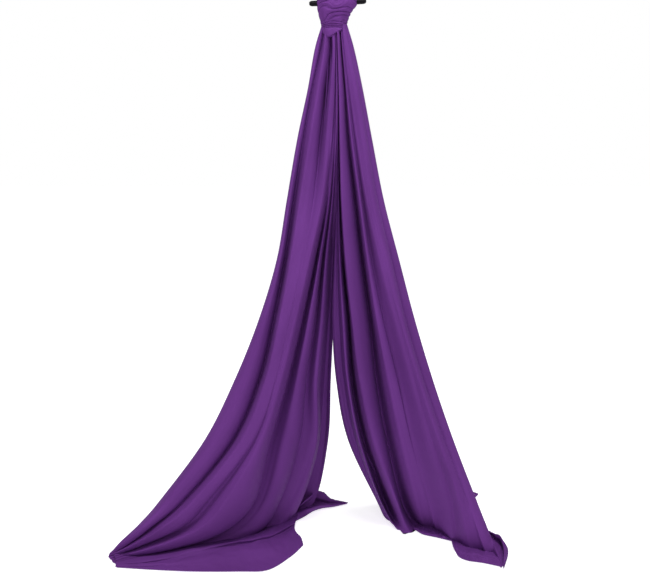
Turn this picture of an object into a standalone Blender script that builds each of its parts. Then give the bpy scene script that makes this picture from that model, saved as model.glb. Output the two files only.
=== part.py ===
"""Aerial silks: one long purple fabric hitched at its middle to a figure-eight.

From the top down the load goes through a screw-gate carabiner, a ball-bearing swivel, a second
carabiner, the figure-eight with its two ears, and the knot that the fabric makes around the
figure's large ring. The two halves of the fabric, the tails, hang from the knot and lie on the
floor with their ends. Metres, +Z up, +X to the viewer's right, and the viewer looks along +Y.
The origin is where the top carabiner bears on its anchor.
"""

import math

import bmesh
import bpy
from mathutils import Matrix, Vector

# Clearances and cuts
SEAT_GAP = 0.0003
OVERRUN = 0.002
WELD_DISTANCE = 0.000005

# Smoothness
BAR_SIDES = 12
ROUND_SIDES = 28
ARC_STEPS = 10

# Oval steel carabiner, its bar's centreline in the YZ plane
CARABINER_BAR_RADIUS = 0.0055
CARABINER_BOW_RADIUS = 0.0245
CARABINER_SIDE_LENGTH = 0.049
GATE_PIN_DROP = 0.0178
GATE_PIN_RADIUS = 0.0016
TANG_THICKNESS = 0.0044
TANG_RADIUS = 0.0046
NOSE_HEIGHT = 0.020
NOSE_TONGUE_THICKNESS = 0.0026
NOSE_TONGUE_WIDTH = 0.0068
NOSE_TONGUE_LENGTH = 0.0056
NOSE_HOOK_LENGTH = 0.0014
LATCH_PIN_RADIUS = 0.0009
LATCH_PIN_DROP = 0.003
GATE_SLOT_DEPTH = 0.0062
GATE_RADIUS = 0.0052
GATE_FORK_END = 0.0036
GATE_BORE_RADIUS = 0.0026
GATE_BORE_LENGTH = 0.019
PLUNGER_RADIUS = 0.0018
PLUNGER_LENGTH = 0.0042
SPRING_RADIUS = 0.0018
SPRING_WIRE_RADIUS = 0.00035
SPRING_TURNS = 6
SLEEVE_BORE_CLEARANCE = 0.0003
SLEEVE_WALL = 0.0018
SLEEVE_LENGTH = 0.020
SLEEVE_DROP = 0.011
SLEEVE_CHAMFER = 0.0007
SLEEVE_RIB_HEIGHT = 0.0004
SLEEVE_RIBS = 16

# Ball-bearing swivel, its eyes in the XZ plane
EYE_HOLE_RADIUS = 0.012
EYE_BAR_RADIUS = 0.006
EYE_SPACING = 0.066
SHOULDER_DROP = 0.0135
SHOULDER_TOP_RADIUS = 0.008
SHOULDER_SLOPE_HEIGHT = 0.0085
BALL_RADIUS = 0.002
BALL_COUNT = 12
BALL_PITCH_RADIUS = 0.0086
RACE_THICKNESS = 0.0032
RACE_STANDOFF = 0.0012
RACE_OUTER_LIP = 0.0019
RACE_INNER_LIP = 0.0016
HOUSING_CAVITY_RADIUS = BALL_PITCH_RADIUS + BALL_RADIUS + RACE_OUTER_LIP
HOUSING_WALL = 0.004
HOUSING_RADIUS = HOUSING_CAVITY_RADIUS + HOUSING_WALL
HOUSING_BOTTOM_DROP = 0.039
HOUSING_ROOF_DROP = 0.020
RETAINER_THICKNESS = 0.0057
AXLE_RADIUS = BALL_PITCH_RADIUS - BALL_RADIUS - RACE_INNER_LIP
AXLE_HEAD_LEDGE = 0.003
AXLE_HEAD_RADIUS = AXLE_RADIUS + AXLE_HEAD_LEDGE
AXLE_HEAD_THICKNESS = 0.003
AXLE_HEAD_ROOM = 0.0006
AXLE_HOLE_CLEARANCE = 0.001
SEAL_THICKNESS = 0.0014
SEAL_INSET = 0.0025
SEAL_RADIUS = HOUSING_RADIUS - SEAL_INSET
COLLAR_FLOOR = 0.0015
CROSS_PIN_RADIUS = 0.0015
CROSS_PIN_DROP = 0.005

# Figure-eight with ears, forged from round aluminium bar, in the XZ plane
EIGHT_BAR_RADIUS = 0.008
EIGHT_LARGE_RADIUS = 0.041
EIGHT_SMALL_RADIUS = 0.0205
EIGHT_CENTRES = 0.086
EIGHT_NECK_RADIUS = 0.0085
EIGHT_EAR_REACH = 0.0855
EIGHT_EAR_ROOT_RADIUS = 0.0088
EIGHT_EAR_TIP_RADIUS = 0.0082
EIGHT_TILT_DEGREES = 2.5

# Fabric: the loop around the figure-eight's neck
LOOP_STRAND_RADIUS = 0.0102
LOOP_LEG_SPREAD = 0.013
LOOP_NECK_SPREAD = 0.031
LOOP_BACK_REACH = 0.0215
LOOP_FRONT_REACH = 0.0205
LOOP_HEIGHT = 0.0575
LOOP_POINTS = 33

# Fabric: the knot, bunched around the large ring's lower half
KNOT_TOP_DROP = 0.006
KNOT_HALF_WIDTH = 0.059
KNOT_HALF_DEPTH = 0.041
KNOT_WRAP_DEPTH = 0.0035
KNOT_WRAPS = 7
KNOT_TWIST_TURNS = 0.3
KNOT_SIDES = 42
KNOT_SKIRT_RISE = 0.0175

# Fabric: the two tails
FLOOR_DROP = 2.078
TAIL_PIVOT_DROP = 0.1233
TAIL_TOP_RADIUS = 0.0252
TAIL_MEETING_OFFSET = -0.006
FRONT_STEPS_PER_FOLD = 3
BACK_STEPS_PER_FOLD = 2
LEFT_REACH = 0.737
LEFT_OUTER_FORWARD = 0.075
LEFT_INNER_BACK = 0.285
LEFT_FRONT_REACH = 0.152
LEFT_BACK_REACH = 0.12
LEFT_FLAP_FORWARD = 0.174
RIGHT_REACH = 0.573
RIGHT_OUTER_FORWARD = 0.155
RIGHT_INNER_BACK = 0.255
RIGHT_FRONT_REACH = 0.085
RIGHT_BACK_REACH = 0.185
RIGHT_FLAP_FORWARD = 0.169
FLAP_HEIGHT = 0.012
FAR_END_REACH = 0.062
FAR_END_BACK = 0.35
FAR_END_RADIUS = 0.033
FAR_END_START_IN = 0.22
FAR_END_START_BACK = 0.18

# Each level down a tail: share of the drop, share of the reach at the outer edge and at the inner
# edge, how far forward the outer edge and how far back the inner edge lie, front share, back share
LEFT_LEVEL_SHARES = (
    (0.000, 0.069, 0.000, 0.00, 0.00, 0.20, 0.20),
    (0.073, 0.104, 0.000, 0.00, 0.00, 0.24, 0.24),
    (0.163, 0.150, 0.000, 0.05, 0.01, 0.30, 0.32),
    (0.255, 0.184, 0.000, 0.08, 0.04, 0.37, 0.45),
    (0.348, 0.220, 0.000, 0.09, 0.12, 0.46, 0.60),
    (0.442, 0.259, 0.001, 0.11, 0.21, 0.62, 0.72),
    (0.538, 0.330, 0.005, 0.19, 0.33, 0.72, 0.86),
    (0.636, 0.414, 0.010, 0.27, 0.45, 0.82, 0.95),
    (0.735, 0.517, 0.018, 0.30, 0.60, 0.91, 1.00),
    (0.835, 0.653, 0.033, 0.34, 0.77, 1.00, 1.00),
    (0.890, 0.744, 0.045, 0.50, 0.88, 1.00, 1.00),
    (0.938, 0.836, 0.060, 0.72, 0.96, 0.93, 0.95),
    (0.972, 0.916, 0.120, 0.88, 0.86, 0.85, 0.75),
    (1.000, 1.000, 0.200, 1.00, 0.72, 0.70, 0.50),
)
RIGHT_LEVEL_SHARES = (
    (0.000, 0.089, 0.000, 0.00, 0.00, 0.33, 0.14),
    (0.073, 0.148, 0.000, 0.02, -0.03, 0.45, 0.17),
    (0.163, 0.202, 0.000, 0.04, -0.03, 0.60, 0.23),
    (0.255, 0.252, 0.000, 0.05, 0.00, 0.76, 0.31),
    (0.348, 0.312, 0.000, 0.05, 0.07, 0.85, 0.39),
    (0.442, 0.385, 0.000, 0.06, 0.17, 0.88, 0.48),
    (0.538, 0.453, 0.000, 0.10, 0.30, 0.85, 0.60),
    (0.636, 0.542, 0.008, 0.16, 0.46, 0.82, 0.74),
    (0.735, 0.631, 0.050, 0.17, 0.60, 0.80, 0.86),
    (0.835, 0.738, 0.130, 0.17, 0.76, 0.80, 0.96),
    (0.890, 0.814, 0.190, 0.15, 0.86, 0.90, 1.00),
    (0.938, 0.862, 0.245, 0.14, 0.95, 1.00, 1.00),
    (0.974, 0.930, 0.340, 0.40, 0.98, 0.98, 0.90),
    (1.000, 1.000, 0.420, 0.70, 0.94, 0.90, 0.70),
)

# Each crest and valley around a tail: share across at the knot, share across at the floor, and
# how far it stands out from the line between the tail's edges. The front runs from the outer edge
# to the inner one and the back returns in deep pleats.
LEFT_FRONT_FOLD_SHARES = (
    (0.09, 0.06, 0.42),
    (0.17, 0.10, 0.38),
    (0.26, 0.15, 0.76),
    (0.60, 0.24, 1.00),
    (0.70, 0.33, 0.82),
    (0.78, 0.38, 0.40),
    (0.85, 0.53, 0.64),
    (0.91, 0.80, 0.30),
    (0.96, 0.91, 0.03),
)
RIGHT_FRONT_FOLD_SHARES = (
    (0.12, 0.13, 0.92),
    (0.27, 0.24, 0.82),
    (0.37, 0.37, 0.28),
    (0.45, 0.53, 0.62),
    (0.56, 0.63, -0.15),
    (0.68, 0.73, 0.85),
    (0.80, 0.82, -0.04),
    (0.90, 0.91, 0.20),
)
BACK_FOLD_SHARES = (
    (0.94, 0.94, 0.40),
    (0.88, 0.88, 0.24),
    (0.81, 0.81, 0.66),
    (0.75, 0.75, 0.32),
    (0.69, 0.69, 0.84),
    (0.62, 0.62, 0.34),
    (0.56, 0.56, 0.92),
    (0.50, 0.50, 0.34),
    (0.44, 0.44, 0.92),
    (0.38, 0.38, 0.34),
    (0.31, 0.31, 0.84),
    (0.25, 0.25, 0.32),
    (0.19, 0.19, 0.66),
    (0.12, 0.12, 0.24),
    (0.06, 0.06, 0.40),
)

# Outlines of the cloth that lies on the floor in front: share of the reach, and share of how far
# forward it comes
LEFT_FLAP_SHARES = (
    (0.99, 0.42), (0.955, 0.72), (0.90, 0.84), (0.77, 0.99), (0.55, 0.98), (0.33, 1.00),
    (0.25, 0.84), (0.185, 0.40), (0.16, 0.03), (0.20, -0.45), (0.30, -0.80), (0.50, 0.00),
    (0.80, 0.25),
)
RIGHT_FLAP_SHARES = (
    (0.905, 1.00), (0.79, 0.66), (0.745, 0.30), (0.70, -0.02), (0.76, -0.35), (0.90, -0.30),
    (0.985, 0.18), (0.95, 0.62),
)

# Along the left tail's far end: share of the way, share of its radius
FAR_END_SHARES = (
    (0.00, 1.50),
    (0.30, 1.35),
    (0.60, 1.05),
    (0.85, 0.70),
    (1.00, 0.30),
)

# Dome at the top of a tail, as angles above its pivot in degrees
TAIL_DOME_ANGLES = (74, 48, 22)

# Levels down the knot: share of its height, width share, depth share, centre's offset share
KNOT_LEVEL_SHARES = (
    (0.00, 0.84, 0.66, 0.02),
    (0.10, 0.99, 0.84, -0.02),
    (0.22, 0.93, 0.90, -0.05),
    (0.36, 0.82, 0.88, -0.09),
    (0.48, 0.75, 0.80, -0.11),
    (0.60, 0.71, 0.74, -0.12),
    (0.72, 0.72, 0.76, -0.10),
    (0.84, 0.78, 0.82, -0.08),
    (1.00, 0.86, 0.88, -0.07),
)

# Derived places on the hang axis
TOP_BOW_Z = CARABINER_BAR_RADIUS
CARABINER_HEIGHT = CARABINER_SIDE_LENGTH + 2 * CARABINER_BOW_RADIUS
UPPER_CARABINER_Z = TOP_BOW_Z - CARABINER_HEIGHT / 2
UPPER_BOTTOM_BOW_Z = TOP_BOW_Z - CARABINER_HEIGHT
EYE_SEAT_OFFSET = EYE_HOLE_RADIUS - CARABINER_BAR_RADIUS - SEAT_GAP
UPPER_EYE_Z = UPPER_BOTTOM_BOW_Z - EYE_SEAT_OFFSET
LOWER_EYE_Z = UPPER_EYE_Z - EYE_SPACING
LOWER_TOP_BOW_Z = LOWER_EYE_Z - EYE_SEAT_OFFSET
LOWER_CARABINER_Z = LOWER_TOP_BOW_Z - CARABINER_HEIGHT / 2
LOWER_BOTTOM_BOW_Z = LOWER_TOP_BOW_Z - CARABINER_HEIGHT
EIGHT_HOLE_RADIUS = EIGHT_SMALL_RADIUS - EIGHT_BAR_RADIUS
EIGHT_SMALL_Z = -(EIGHT_HOLE_RADIUS - CARABINER_BAR_RADIUS - SEAT_GAP)
EIGHT_LARGE_Z = EIGHT_SMALL_Z - EIGHT_CENTRES
EIGHT_TILT = math.radians(EIGHT_TILT_DEGREES)
RING_X = -EIGHT_LARGE_Z * math.sin(EIGHT_TILT)
RING_Z = LOWER_BOTTOM_BOW_Z + EIGHT_LARGE_Z * math.cos(EIGHT_TILT)
PIVOT_Z = RING_Z - TAIL_PIVOT_DROP
PIVOT_SPREAD = TAIL_TOP_RADIUS + SEAT_GAP
TAIL_DROP = PIVOT_Z + FLOOR_DROP


def clear_scene():
    for item in list(bpy.data.objects):
        bpy.data.objects.remove(item, do_unlink=True)


def finish(name, colour, roughness, metallic):
    """A plain material of its own for one node."""
    made = bpy.data.materials.new(name)
    made.use_nodes = True
    shader = made.node_tree.nodes["Principled BSDF"]
    shader.inputs["Base Color"].default_value = (*colour, 1)
    shader.inputs["Roughness"].default_value = roughness
    shader.inputs["Metallic"].default_value = metallic
    return made


def steel(name):
    return finish(name, (0.56, 0.57, 0.58), 0.28, 1.0)


def dark_steel(name):
    return finish(name, (0.20, 0.20, 0.21), 0.4, 1.0)


def black_anodised(name):
    return finish(name, (0.012, 0.010, 0.014), 0.38, 0.6)


def black_rubber(name):
    return finish(name, (0.02, 0.02, 0.02), 0.7, 0.0)


def purple_fabric(name):
    return finish(name, (0.133, 0.037, 0.216), 0.62, 0.0)


def link(name, mesh, parent=None, material=None, smooth_degrees=35):
    made = bpy.data.objects.new(name, mesh)
    bpy.context.scene.collection.objects.link(made)
    made.parent = parent
    if material:
        mesh.materials.clear()
        mesh.materials.append(material)
    if mesh.polygons:
        mesh.shade_smooth()
        mesh.set_sharp_from_angle(angle=math.radians(smooth_degrees))
    return made


def helper(made):
    """A cutter or a part of a union stays out of the model itself."""
    made.hide_render = True
    made.display_type = "WIRE"
    return made


def mesh_from(name, bm):
    bmesh.ops.recalc_face_normals(bm, faces=bm.faces)
    mesh = bpy.data.meshes.new(name)
    bm.to_mesh(mesh)
    bm.free()
    return mesh


def combine(target, other, operation):
    """A live Boolean: UNION or DIFFERENCE of target with a helper object."""
    modifier = target.modifiers.new(f"{operation.lower()} {other.name}", "BOOLEAN")
    modifier.operation = operation
    modifier.object = helper(other)


def turned(name, outline, sides):
    """A closed outline of (radius, height) pairs, spun about Z."""
    bm = bmesh.new()
    points = [bm.verts.new((radius, 0, height)) for radius, height in outline]
    edges = [bm.edges.new((a, b)) for a, b in zip(points, points[1:] + points[:1])]
    bmesh.ops.spin(
        bm, geom=points + edges, axis=(0, 0, 1), cent=(0, 0, 0), steps=sides,
        angle=2 * math.pi, use_merge=True,
    )
    bmesh.ops.remove_doubles(bm, verts=bm.verts, dist=WELD_DISTANCE)
    axis_edges = [e for e in bm.edges if not e.link_faces]
    bmesh.ops.delete(bm, geom=axis_edges, context="EDGES")
    return mesh_from(name, bm)


def cylinder(name, radius, length, axis, centre, sides=ROUND_SIDES):
    """A plain cylinder along one axis, centred on a point."""
    bm = bmesh.new()
    turn = Vector((0, 0, 1)).rotation_difference(Vector(axis)).to_matrix().to_4x4()
    bmesh.ops.create_cone(
        bm, cap_ends=True, segments=sides, radius1=radius, radius2=radius, depth=length,
        matrix=Matrix.Translation(centre) @ turn,
    )
    return mesh_from(name, bm)


def block(name, low, high):
    """A box between two corners."""
    bm = bmesh.new()
    size = [b - a for a, b in zip(low, high)]
    middle = [(a + b) / 2 for a, b in zip(low, high)]
    place = Matrix.Translation(middle) @ Matrix.Diagonal((*size, 1))
    bmesh.ops.create_cube(bm, size=1, matrix=place)
    return mesh_from(name, bm)


def tube(name, points, radii, closed=False, resolution=None):
    """A round bar along points, made as a bevelled curve and turned into a mesh."""
    curve = bpy.data.curves.new(name, "CURVE")
    curve.dimensions = "3D"
    curve.bevel_depth = 1
    curve.bevel_resolution = BAR_SIDES // 4 - 1 if resolution is None else resolution
    curve.use_fill_caps = not closed
    spline = curve.splines.new("POLY")
    spline.points.add(len(points) - 1)
    spline.use_cyclic_u = closed
    for slot, point, radius in zip(spline.points, points, radii):
        slot.co = (*point, 1)
        slot.radius = radius
    shape = bpy.data.objects.new(name, curve)
    bpy.context.scene.collection.objects.link(shape)
    graph = bpy.context.evaluated_depsgraph_get()
    raw = bpy.data.meshes.new_from_object(shape.evaluated_get(graph))
    bpy.data.objects.remove(shape, do_unlink=True)
    bm = bmesh.new()
    bm.from_mesh(raw)
    bmesh.ops.remove_doubles(bm, verts=bm.verts, dist=WELD_DISTANCE)
    return mesh_from(name, bm)


def ring(name, large, small, centre, sides_around, sides_bar):
    """A torus in the XZ plane."""
    bm = bmesh.new()
    start = Matrix.Translation((large, 0, 0)) @ Matrix.Rotation(math.pi / 2, 4, "X")
    made = bmesh.ops.create_circle(bm, segments=sides_bar, radius=small, matrix=start)
    loop = made["verts"]
    edges = list({e for v in loop for e in v.link_edges})
    bmesh.ops.spin(
        bm, geom=loop + edges, axis=(0, 0, 1), cent=(0, 0, 0), steps=sides_around,
        angle=2 * math.pi, use_merge=True,
    )
    bmesh.ops.remove_doubles(bm, verts=bm.verts, dist=WELD_DISTANCE)
    upright = Matrix.Translation(centre) @ Matrix.Rotation(math.pi / 2, 4, "X")
    bmesh.ops.transform(bm, matrix=upright, verts=bm.verts)
    return mesh_from(name, bm)


def loft(name, levels):
    """A closed skin over rings of equal counts, with a flat cap at each end."""
    bm = bmesh.new()
    loops = []
    for points in levels:
        verts = [bm.verts.new(point) for point in points]
        edges = [bm.edges.new((a, b)) for a, b in zip(verts, verts[1:] + verts[:1])]
        loops.append((verts, edges))
    for (upper, _), (lower, _) in zip(loops, loops[1:]):
        count = len(upper)
        for i in range(count):
            j = (i + 1) % count
            bm.faces.new((upper[i], upper[j], lower[j], lower[i]))
    for verts, _ in (loops[0], loops[-1]):
        bm.faces.new(verts)
    bm.normal_update()
    bmesh.ops.triangulate(bm, faces=bm.faces)
    return mesh_from(name, bm)


# Carabiners

def carabiner_bar_points():
    """From the gate's hinge around the lower bow, up the spine and over the upper bow to the nose."""
    half = CARABINER_SIDE_LENGTH / 2
    bow = CARABINER_BOW_RADIUS
    points = [(0, bow, -half)]
    for step in range(1, ARC_STEPS + 1):
        angle = math.pi * step / ARC_STEPS
        points.append((0, bow * math.cos(angle), -half - bow * math.sin(angle)))
    for step in range(ARC_STEPS + 1):
        angle = math.pi * (1 - step / ARC_STEPS)
        points.append((0, bow * math.cos(angle), half + bow * math.sin(angle)))
    points.append((0, bow, NOSE_HEIGHT))
    return points


def tang_mesh(name):
    """Flat tongue with a round end, which the gate's fork straddles."""
    bow = CARABINER_BOW_RADIUS
    half = TANG_THICKNESS / 2
    root = -CARABINER_SIDE_LENGTH / 2 - OVERRUN
    bm = bmesh.new()
    outline = [(-half, bow - TANG_RADIUS, root), (-half, bow + TANG_RADIUS, root)]
    for step in range(ARC_STEPS + 1):
        angle = math.pi * step / ARC_STEPS
        across = bow + TANG_RADIUS * math.cos(angle)
        outline.append((-half, across, -GATE_PIN_DROP + TANG_RADIUS * math.sin(angle)))
    face = bm.faces.new([bm.verts.new(point) for point in outline])
    grown = bmesh.ops.extrude_face_region(bm, geom=[face])
    moved = [item for item in grown["geom"] if isinstance(item, bmesh.types.BMVert)]
    bmesh.ops.translate(bm, vec=(TANG_THICKNESS, 0, 0), verts=moved)
    return mesh_from(name, bm)


def nose_tongue_mesh(name):
    """Tongue under the nose, with a notch that hooks the gate's latch pin."""
    half = NOSE_TONGUE_THICKNESS / 2
    middle = CARABINER_BOW_RADIUS
    inner = middle - NOSE_TONGUE_WIDTH / 2
    outer = middle + NOSE_TONGUE_WIDTH / 2
    notch_half = LATCH_PIN_RADIUS + SEAT_GAP
    notch_back = middle + notch_half
    pin = NOSE_HEIGHT - LATCH_PIN_DROP
    tip = NOSE_HEIGHT - NOSE_TONGUE_LENGTH
    outline = (
        (inner, NOSE_HEIGHT + OVERRUN),
        (outer, NOSE_HEIGHT + OVERRUN),
        (outer, tip + NOSE_HOOK_LENGTH / 2),
        (outer - NOSE_HOOK_LENGTH / 2, tip),
        (inner + NOSE_HOOK_LENGTH / 2, tip),
        (inner, tip + NOSE_HOOK_LENGTH / 2),
        (inner, pin - notch_half),
        (notch_back, pin - notch_half),
        (notch_back, pin + notch_half),
        (inner, pin + notch_half),
    )
    bm = bmesh.new()
    face = bm.faces.new([bm.verts.new((-half, across, up)) for across, up in outline])
    grown = bmesh.ops.extrude_face_region(bm, geom=[face])
    moved = [item for item in grown["geom"] if isinstance(item, bmesh.types.BMVert)]
    bmesh.ops.translate(bm, vec=(NOSE_TONGUE_THICKNESS, 0, 0), verts=moved)
    bmesh.ops.triangulate(bm, faces=bm.faces)
    return mesh_from(name, bm)


def carabiner_frame(prefix, place):
    points = carabiner_bar_points()
    radii = [CARABINER_BAR_RADIUS] * len(points)
    frame = link(f"{prefix}_carabiner_frame", tube("frame", points, radii), place)
    frame.data.materials.append(steel(frame.name))
    combine(frame, link(f"{prefix} tang", tang_mesh("tang"), place), "UNION")
    combine(frame, link(f"{prefix} tongue", nose_tongue_mesh("tongue"), place), "UNION")
    hole = cylinder(
        "hinge hole", GATE_PIN_RADIUS + SEAT_GAP, TANG_THICKNESS + 2 * OVERRUN, (1, 0, 0),
        (0, CARABINER_BOW_RADIUS, -GATE_PIN_DROP), BAR_SIDES,
    )
    combine(frame, link(f"{prefix} hinge hole", hole, place), "DIFFERENCE")
    return frame


def carabiner_gate(prefix, hinge):
    """The gate in its hinge's own axes: Z runs from the pin to the nose."""
    top = NOSE_HEIGHT + GATE_PIN_DROP - SEAT_GAP
    length = top + GATE_FORK_END
    mesh = cylinder("gate", GATE_RADIUS, length, (0, 0, 1), (0, 0, top - length / 2), 16)
    gate = link(f"{prefix}_carabiner_gate", mesh, hinge)
    gate.data.materials.append(steel(gate.name))
    slot_half = TANG_THICKNESS / 2 + SEAT_GAP
    slot_top = TANG_RADIUS + SEAT_GAP
    wide = GATE_RADIUS + OVERRUN
    fork = block("fork slot", (-slot_half, -wide, -GATE_FORK_END - OVERRUN), (slot_half, wide, slot_top))
    combine(gate, link(f"{prefix} fork slot", fork, hinge), "DIFFERENCE")
    latch_half = NOSE_TONGUE_THICKNESS / 2 + SEAT_GAP
    latch = block(
        "latch slot", (-latch_half, -wide, top - GATE_SLOT_DEPTH), (latch_half, wide, top + OVERRUN)
    )
    combine(gate, link(f"{prefix} latch slot", latch, hinge), "DIFFERENCE")
    bore_low = slot_top - OVERRUN
    bore = cylinder(
        "gate bore", GATE_BORE_RADIUS, GATE_BORE_LENGTH + OVERRUN, (0, 0, 1),
        (0, 0, bore_low + (GATE_BORE_LENGTH + OVERRUN) / 2), BAR_SIDES,
    )
    combine(gate, link(f"{prefix} gate bore", bore, hinge), "DIFFERENCE")
    for label, height, radius in (
        ("hinge pin hole", 0, GATE_PIN_RADIUS),
        ("latch pin hole", top + SEAT_GAP - LATCH_PIN_DROP, LATCH_PIN_RADIUS),
    ):
        hole = cylinder(label, radius + SEAT_GAP, 2 * wide, (1, 0, 0), (0, 0, height), BAR_SIDES)
        combine(gate, link(f"{prefix} {label}", hole, hinge), "DIFFERENCE")
    return gate


def carabiner_gate_pins(prefix, hinge):
    latch_z = NOSE_HEIGHT + GATE_PIN_DROP - LATCH_PIN_DROP
    for label, height, radius in (
        ("hinge_pin", 0, GATE_PIN_RADIUS),
        ("latch_pin", latch_z, LATCH_PIN_RADIUS),
    ):
        reach = math.sqrt(GATE_RADIUS**2 - radius**2)
        pin = cylinder(label, radius, 2 * reach, (1, 0, 0), (0, 0, height), BAR_SIDES)
        name = f"{prefix}_carabiner_{label}"
        link(name, pin, hinge, dark_steel(name))


def carabiner_gate_spring(prefix, hinge):
    """The plunger bears on the tang's round end, and the coil behind it shuts the gate."""
    foot = TANG_RADIUS + SEAT_GAP
    name = f"{prefix}_carabiner_plunger"
    mesh = cylinder(
        "plunger", PLUNGER_RADIUS, PLUNGER_LENGTH, (0, 0, 1), (0, 0, foot + PLUNGER_LENGTH / 2),
        BAR_SIDES,
    )
    link(name, mesh, hinge, dark_steel(name))
    low = foot + PLUNGER_LENGTH + SEAT_GAP + SPRING_WIRE_RADIUS
    high = TANG_RADIUS + GATE_BORE_LENGTH - SEAT_GAP - SPRING_WIRE_RADIUS
    per_turn = 8
    count = SPRING_TURNS * per_turn
    points = []
    for step in range(count + 1):
        angle = 2 * math.pi * step / per_turn
        height = low + (high - low) * step / count
        points.append((SPRING_RADIUS * math.cos(angle), SPRING_RADIUS * math.sin(angle), height))
    name = f"{prefix}_carabiner_gate_spring"
    coil = tube("spring", points, [SPRING_WIRE_RADIUS] * len(points), resolution=0)
    link(name, coil, hinge, dark_steel(name))


def carabiner_sleeve(prefix, hinge):
    """Knurled screw sleeve, run back from the nose so that the gate can open."""
    bore = CARABINER_BAR_RADIUS + SLEEVE_BORE_CLEARANCE
    crown = bore + SLEEVE_WALL
    low = GATE_PIN_DROP - SLEEVE_DROP
    high = low + SLEEVE_LENGTH
    count = 2 * SLEEVE_RIBS

    def band(outer, height, ribbed):
        points = []
        for step in range(count):
            angle = 2 * math.pi * step / count
            radius = outer - (SLEEVE_RIB_HEIGHT if ribbed and step % 2 else 0)
            points.append((radius * math.cos(angle), radius * math.sin(angle), height))
        return points

    shoulder = crown - SLEEVE_CHAMFER
    bands = [
        band(bore, low, False),
        band(shoulder, low, False),
        band(crown, low + SLEEVE_CHAMFER, True),
        band(crown, high - SLEEVE_CHAMFER, True),
        band(shoulder, high, False),
        band(bore, high, False),
    ]
    bm = bmesh.new()
    rows = [[bm.verts.new(point) for point in points] for points in bands]
    for upper, lower in zip(rows, rows[1:] + rows[:1]):
        for i in range(count):
            j = (i + 1) % count
            bm.faces.new((upper[i], upper[j], lower[j], lower[i]))
    name = f"{prefix}_carabiner_sleeve"
    link(name, mesh_from("sleeve", bm), hinge, steel(name), 20)


def carabiner(prefix, height, gate_turn):
    """One whole carabiner. Its gate faces +Y, or the way that gate_turn takes it."""
    place = bpy.data.objects.new(f"{prefix} carabiner place", None)
    bpy.context.scene.collection.objects.link(place)
    place.location = (0, 0, height)
    place.rotation_euler = (0, 0, gate_turn)
    hinge = bpy.data.objects.new(f"{prefix} gate hinge", None)
    bpy.context.scene.collection.objects.link(hinge)
    hinge.parent = place
    hinge.location = (0, CARABINER_BOW_RADIUS, -GATE_PIN_DROP)
    carabiner_frame(prefix, place)
    carabiner_gate(prefix, hinge)
    carabiner_gate_pins(prefix, hinge)
    carabiner_gate_spring(prefix, hinge)
    carabiner_sleeve(prefix, hinge)


# Swivel

def swivel_place():
    place = bpy.data.objects.new("swivel place", None)
    bpy.context.scene.collection.objects.link(place)
    place.location = (0, 0, UPPER_EYE_Z)
    return place


def shoulder_outline(bottom):
    """Half outline of an eye's forged shoulder, from its flat top down to its round body."""
    return [
        (0, -SHOULDER_DROP),
        (SHOULDER_TOP_RADIUS, -SHOULDER_DROP),
        (HOUSING_RADIUS, -SHOULDER_DROP - SHOULDER_SLOPE_HEIGHT),
        (HOUSING_RADIUS, bottom),
        (0, bottom),
    ]


def swivel_housing(place):
    """Upper eye and bearing housing, one forging, bored from below."""
    mesh = turned("housing", shoulder_outline(-HOUSING_BOTTOM_DROP), ROUND_SIDES)
    housing = link("swivel_housing", mesh, place)
    housing.data.materials.append(steel("swivel_housing"))
    eye_radius = EYE_HOLE_RADIUS + EYE_BAR_RADIUS
    eye = ring("upper eye", eye_radius, EYE_BAR_RADIUS, (0, 0, 0), 24, BAR_SIDES)
    combine(housing, link("upper eye", eye, place), "UNION")
    depth = HOUSING_BOTTOM_DROP - HOUSING_ROOF_DROP + OVERRUN
    cavity = cylinder(
        "cavity", HOUSING_CAVITY_RADIUS, depth, (0, 0, 1), (0, 0, -HOUSING_ROOF_DROP - depth / 2)
    )
    combine(housing, link("housing cavity", cavity, place), "DIFFERENCE")


def swivel_lower_eye(place):
    """Lower eye with its collar, bored from above for the axle."""
    top = EYE_SPACING - HOUSING_BOTTOM_DROP - SEAL_THICKNESS - 2 * SEAT_GAP
    mesh = turned("collar", [(r, -z) for r, z in shoulder_outline(-top)], ROUND_SIDES)
    collar = link("swivel_lower_eye", mesh, place)
    collar.data.materials.append(steel("swivel_lower_eye"))
    collar.location = (0, 0, -EYE_SPACING)
    eye_radius = EYE_HOLE_RADIUS + EYE_BAR_RADIUS
    eye = ring("lower eye", eye_radius, EYE_BAR_RADIUS, (0, 0, 0), 24, BAR_SIDES)
    combine(collar, link("lower eye", eye, collar), "UNION")
    floor = SHOULDER_DROP + COLLAR_FLOOR
    depth = top - floor + OVERRUN
    bore = cylinder(
        "axle bore", AXLE_RADIUS + SEAT_GAP, depth, (0, 0, 1), (0, 0, floor + depth / 2), 20
    )
    combine(collar, link("axle bore", bore, collar), "DIFFERENCE")
    hole = cylinder(
        "collar cross hole", CROSS_PIN_RADIUS + SEAT_GAP, 2 * HOUSING_RADIUS + OVERRUN, (1, 0, 0),
        (0, 0, top - CROSS_PIN_DROP), BAR_SIDES,
    )
    combine(collar, link("collar cross hole", hole, collar), "DIFFERENCE")


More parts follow.
